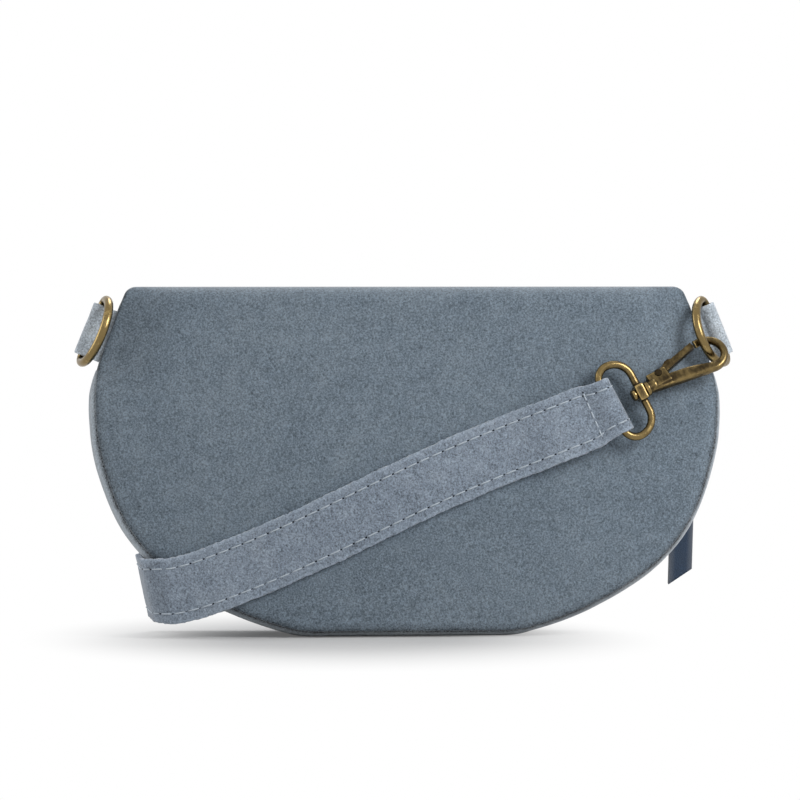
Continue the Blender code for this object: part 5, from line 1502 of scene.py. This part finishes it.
def make_seam_stitches(looks):
    """Sewing on both sides of the zip, which holds the tapes."""
    sewing = Sewing()
    shares = np.linspace(-0.955, 0.955, 220)
    for sign in (1, -1):
        heights = zip_edge_height(shares, sign * (ZIP_OPENING + ZIP_SEAM))
        line = soften(wall_rows(1, shares, heights), PANEL_SEEDS[-sign])
        face = np.tile(FRONT_OUT, (len(line), 1))
        sewing.row(line + face * ZIP_SEAM_LIFT, face, ZIP_STITCH, looks.thread_width * 0.85)
    sewing.pieces(looks, "zip", "seam_thread")


# Solids that stay

KEPT = {
    "brass_zip": ("zip_teeth_upper", "zip_teeth_lower", "zip_stop_left", "zip_stop_right", "zip_slider"),
    "brass": ("hook_a_gate", "hook_b_gate"),
    "rivet": ("hook_a_rivet", "hook_b_rivet"),
    "steel": ("hook_a_spring", "hook_b_spring"),
}


def dress_solids(looks):
    for finish, nodes in KEPT.items():
        for node in nodes:
            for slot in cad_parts[node].material_slots:
                slot.material = finish_for(finish, looks)


# Studio

WHITE = (1.0, 1.0, 1.0, 1.0)
LAMPS = (
    ("key_lamp", (0.62, -0.62, 0.62), 0.5, 0.62),
    ("left_lamp", (-1.5, 0.25, 0.6), 1.0, 0.8),
    ("rear_lamp", (0.2, 0.8, 1.4), 0.8, 0.95),
)
LAMP_TARGET = Vector((0.0, 0.0, 75.0 * MM))
SENSOR_WIDTH = 36.0
CAMERA_REACH = 50.0


def studio_finish(stage):
    """Pale paper that turns plain white away from the bag. Near it the camera sees grey paper in an oval, a
    painted shadow placed where the bag's shadow falls, with the rendered shadow on it.
    """
    grey = (stage.paper_and_shadow_grey,) * 3 + (1.0,)
    finish = Finish("floor_paper", Base_Color=grey, Roughness=0.95, Specular_IOR_Level=0.0)
    shift = (stage.floor_stretch * stage.floor_left, stage.floor_shift, 0.0)
    place = finish.mapped((stage.floor_stretch, 1.0, 1.0), shift=shift)
    apart = finish.node("ShaderNodeVectorMath", {"operation": "LENGTH"}, {0: place}, "Value")
    # Painted shadow: the oval near the bag, shifted left and forward, where grey paper shows instead of
    # white.
    white = finish.ramp(apart, stage.floor_near, stage.floor_far)
    share = finish.seen_white() * (white * (1.0 - stage.floor_glow) + stage.floor_glow)
    paper = Flow(finish, finish.shader.outputs[0])
    finish.end("Material Output", share, paper, finish.node("ShaderNodeEmission"))
    return finish.material


def studio_world(strength):
    world = bpy.data.worlds.new("studio_world")
    bpy.context.scene.world = world
    world.use_nodes = True
    world.node_tree.nodes.clear()
    graph = Graph(world.node_tree)
    lit, shown = (
        graph.node("ShaderNodeBackground", None, {"Color": WHITE, "Strength": level})
        for level in (strength, 1.0))
    graph.end("World Output", graph.seen_white(), lit, shown)


def look_along(thing, direction):
    thing.rotation_euler = direction.to_track_quat("-Z", "Y").to_euler()


def make_stage(stage):
    half = stage.floor_size / 2
    mesh = bpy.data.meshes.new("floor")
    corners = [(-half, -half, 0.0), (half, -half, 0.0), (half, half, 0.0), (-half, half, 0.0)]
    mesh.from_pydata(corners, [], [(0, 1, 2, 3)])
    floor = linked("floor", mesh)
    mesh.materials.append(studio_finish(stage))
    studio_world(stage.world_strength)
    for name, place, size, share in LAMPS:
        data = bpy.data.lights.new(name, "AREA")
        data.shape = "DISK"
        data.size = size
        data.energy = stage.key_power * share
        lamp = linked(name, data)
        lamp.location = place
        look_along(lamp, LAMP_TARGET - Vector(place))
    azimuth, elevation = stage.azimuth, stage.elevation
    level = math.cos(elevation)
    back = Vector((math.sin(azimuth) * level, -math.cos(azimuth) * level, math.sin(elevation)))
    right = Vector((math.cos(azimuth), math.sin(azimuth), 0.0))
    data = bpy.data.cameras.new("camera")
    camera = linked("camera", data)
    aim = right * stage.aim_side + Vector((0.0, 0.0, stage.aim_height))
    camera.location = aim + back * stage.camera_distance
    look_along(camera, -back)
    data.sensor_width = SENSOR_WIDTH
    data.lens = SENSOR_WIDTH * stage.camera_distance / stage.view_width
    data.clip_end = CAMERA_REACH
    bpy.context.scene.camera = camera
    bpy.context.scene.view_settings.view_transform = "Standard"


# Add-on

def colour(name, description, *default):
    return bpy.props.FloatVectorProperty(
        name=name, description=description, default=default, size=3, min=0.0, max=1.0, subtype="COLOR")


def number(name, description, default, unit="LENGTH", **rest):
    return bpy.props.FloatProperty(name=name, description=description, default=default, unit=unit, **rest)


def angle(name, description, degrees):
    return number(name, description, math.radians(degrees), "ROTATION", subtype="ANGLE")


class BeltBagLooks(bpy.types.PropertyGroup):
    """Colours and sewing of the belt bag."""

    panel_colour: colour("Panels", "Suede of the back and front", 0.149, 0.190, 0.232)
    # Paler than the panels: the gusset's own suede, lightened further as painted sheen along the side.
    gusset_colour_with_painted_sheen: colour("Gusset", "Suede of the side and bottom strip", 0.26, 0.305, 0.35)
    strap_colour: colour("Strap", "Suede of the belt strap", 0.226, 0.273, 0.335)
    tab_colour: colour("Tabs", "Suede of the ring tabs", 0.43, 0.485, 0.54)
    pull_colour: colour("Pull", "Leather of the zip pull", 0.030, 0.050, 0.086)
    lining_colour: colour("Lining", "Cloth inside the bag", 0.10, 0.12, 0.14)
    tape_colour: colour("Tapes", "Cloth of the zip tapes", 0.05, 0.07, 0.10)
    thread_colour: colour("Strap thread", "Pale thread on the strap", 0.47, 0.53, 0.59)
    seam_thread_colour: colour("Zip thread", "Thread beside the zip", 0.22, 0.26, 0.30)
    brass_bright: colour("Rubbed brass", "Brass where it is rubbed bright", 0.45, 0.325, 0.135)
    brass_dark: colour("Brass patina", "Brass where it has gone dark", 0.036, 0.026, 0.014)
    nap: number("Nap", "Depth of the suede's nap", 0.35 * MM, min=0.0)
    stitch_pitch: number("Stitch", "Length of one stitch on the strap", 6.0 * MM, min=1.0 * MM)
    thread_width: number("Thread", "Thickness of the strap's thread", 0.62 * MM, min=0.1 * MM)


class BeltBagStage(bpy.types.PropertyGroup):
    """Studio round the belt bag."""

    azimuth: angle("Azimuth", "Turn of the camera round the bag", -5.5)
    elevation: angle("Elevation", "Rise of the camera over the horizon", 1.5)
    camera_distance: number("Distance", "Camera to bag", 2.4, min=0.5)
    view_width: number("View width", "Width of the picture at the bag", 0.35, min=0.1)
    aim_side: number("Aim sideways", "Picture centre beside the bag's middle", -2.2 * MM)
    aim_height: number("Aim height", "Height of the picture's centre", 102.4 * MM)
    floor_size: number("Floor", "Side of the floor", 24.0, min=1.0)
    # Grey of the paper seen only in the oval near the bag, a painted shadow under the rendered one.
    paper_and_shadow_grey: number("Floor tone", "Grey of the floor's paper", 0.62, "NONE", min=0.0, max=1.0)
    floor_stretch: number(
        "Floor stretch", "Shape of the shaded floor: 1 for a circle, less for a wider oval", 1.4, "NONE",
        min=0.05, max=4.0)
    floor_left: number("Floor left", "How far the shaded floor lies left of the bag's middle", 0.03)
    floor_shift: number("Floor front", "How far the shaded floor lies before the bag", 0.03)
    floor_near: number("Shade", "Reach of the shaded floor", 0.05, min=0.0)
    floor_far: number("White", "Reach from which the floor is plain white", 0.2, min=0.01)
    floor_glow: number(
        "Floor glow", "Share of plain white that the camera sees in the floor", 0.1, "NONE", min=0.0,
        max=1.0)
    world_strength: number("World", "Light from all round", 0.40, "NONE", min=0.0)
    key_power: number("Key lamp", "Power of the lamps in watts, before their shares", 10.0, "NONE", min=0.0)


class BELTBAG_OT_shell(bpy.types.Operator):
    """Back, front, gusset and lining of the bag"""

    bl_idname = "belt_bag.shell"
    bl_label = "Shell"
    bl_options = {"REGISTER", "UNDO"}

    def execute(self, context):
        looks = context.scene.belt_bag_looks
        make_back_shell(looks)
        make_front_shell(looks)
        make_gusset(looks)
        make_lining(looks)
        return {"FINISHED"}


class BELTBAG_OT_zip(bpy.types.Operator):
    """Tapes, sewing, link and leather pull of the zip"""

    bl_idname = "belt_bag.zip"
    bl_label = "Zip"
    bl_options = {"REGISTER", "UNDO"}

    def execute(self, context):
        looks = context.scene.belt_bag_looks
        make_tapes(looks)
        make_seam_stitches(looks)
        make_pull(looks)
        return {"FINISHED"}


class BELTBAG_OT_rings(bpy.types.Operator):
    """Suede tabs and the D rings in them"""

    bl_idname = "belt_bag.rings"
    bl_label = "Tabs and rings"
    bl_options = {"REGISTER", "UNDO"}

    def execute(self, context):
        looks = context.scene.belt_bag_looks
        for side in ("left", "right"):
            make_tab(looks, side)
            make_ring(looks, side)
        return {"FINISHED"}


class BELTBAG_OT_strap(bpy.types.Operator):
    """Belt strap with its rows of stitches"""

    bl_idname = "belt_bag.strap"
    bl_label = "Strap"
    bl_options = {"REGISTER", "UNDO"}

    def execute(self, context):
        looks = context.scene.belt_bag_looks
        make_strap(looks)
        return {"FINISHED"}


class BELTBAG_OT_snaps(bpy.types.Operator):
    """Cast trigger snaps and their wire loops"""

    bl_idname = "belt_bag.snaps"
    bl_label = "Snaps"
    bl_options = {"REGISTER", "UNDO"}

    def execute(self, context):
        looks = context.scene.belt_bag_looks
        make_snaps(looks)
        return {"FINISHED"}


class BELTBAG_OT_solids(bpy.types.Operator):
    """Finishes of the solids that stay in view"""

    bl_idname = "belt_bag.solids"
    bl_label = "Kept solids"
    bl_options = {"REGISTER", "UNDO"}

    def execute(self, context):
        looks = context.scene.belt_bag_looks
        dress_solids(looks)
        return {"FINISHED"}


class BELTBAG_OT_stage(bpy.types.Operator):
    """Floor, lamps and camera"""

    bl_idname = "belt_bag.stage"
    bl_label = "Studio"
    bl_options = {"REGISTER", "UNDO"}

    def execute(self, context):
        make_stage(context.scene.belt_bag_stage)
        return {"FINISHED"}


STEPS = (
    BELTBAG_OT_shell, BELTBAG_OT_zip, BELTBAG_OT_rings, BELTBAG_OT_strap, BELTBAG_OT_snaps,
    BELTBAG_OT_solids, BELTBAG_OT_stage,
)


class BELTBAG_PT_panel(bpy.types.Panel):
    """Sidebar panel with the steps and their settings"""

    bl_idname = "BELTBAG_PT_panel"
    bl_label = "Belt bag"
    bl_space_type = "VIEW_3D"
    bl_region_type = "UI"
    bl_category = "Belt bag"

    def draw(self, context):
        for step in STEPS:
            self.layout.operator(step.bl_idname)
        for group in (context.scene.belt_bag_looks, context.scene.belt_bag_stage):
            box = self.layout.box()
            for name in group.__annotations__:
                box.prop(group, name)


CLASSES = (BeltBagLooks, BeltBagStage, *STEPS, BELTBAG_PT_panel)


def register():
    for item in CLASSES:
        bpy.utils.register_class(item)
    bpy.types.Scene.belt_bag_looks = bpy.props.PointerProperty(type=BeltBagLooks)
    bpy.types.Scene.belt_bag_stage = bpy.props.PointerProperty(type=BeltBagStage)


def unregister():
    del bpy.types.Scene.belt_bag_looks
    del bpy.types.Scene.belt_bag_stage
    for item in reversed(CLASSES):
        bpy.utils.unregister_class(item)


def main():
    register()
    bpy.ops.belt_bag.shell()
    bpy.ops.belt_bag.zip()
    bpy.ops.belt_bag.rings()
    bpy.ops.belt_bag.strap()
    bpy.ops.belt_bag.snaps()
    bpy.ops.belt_bag.solids()
    bpy.ops.belt_bag.stage()


if __name__ == "__main__":
    main()
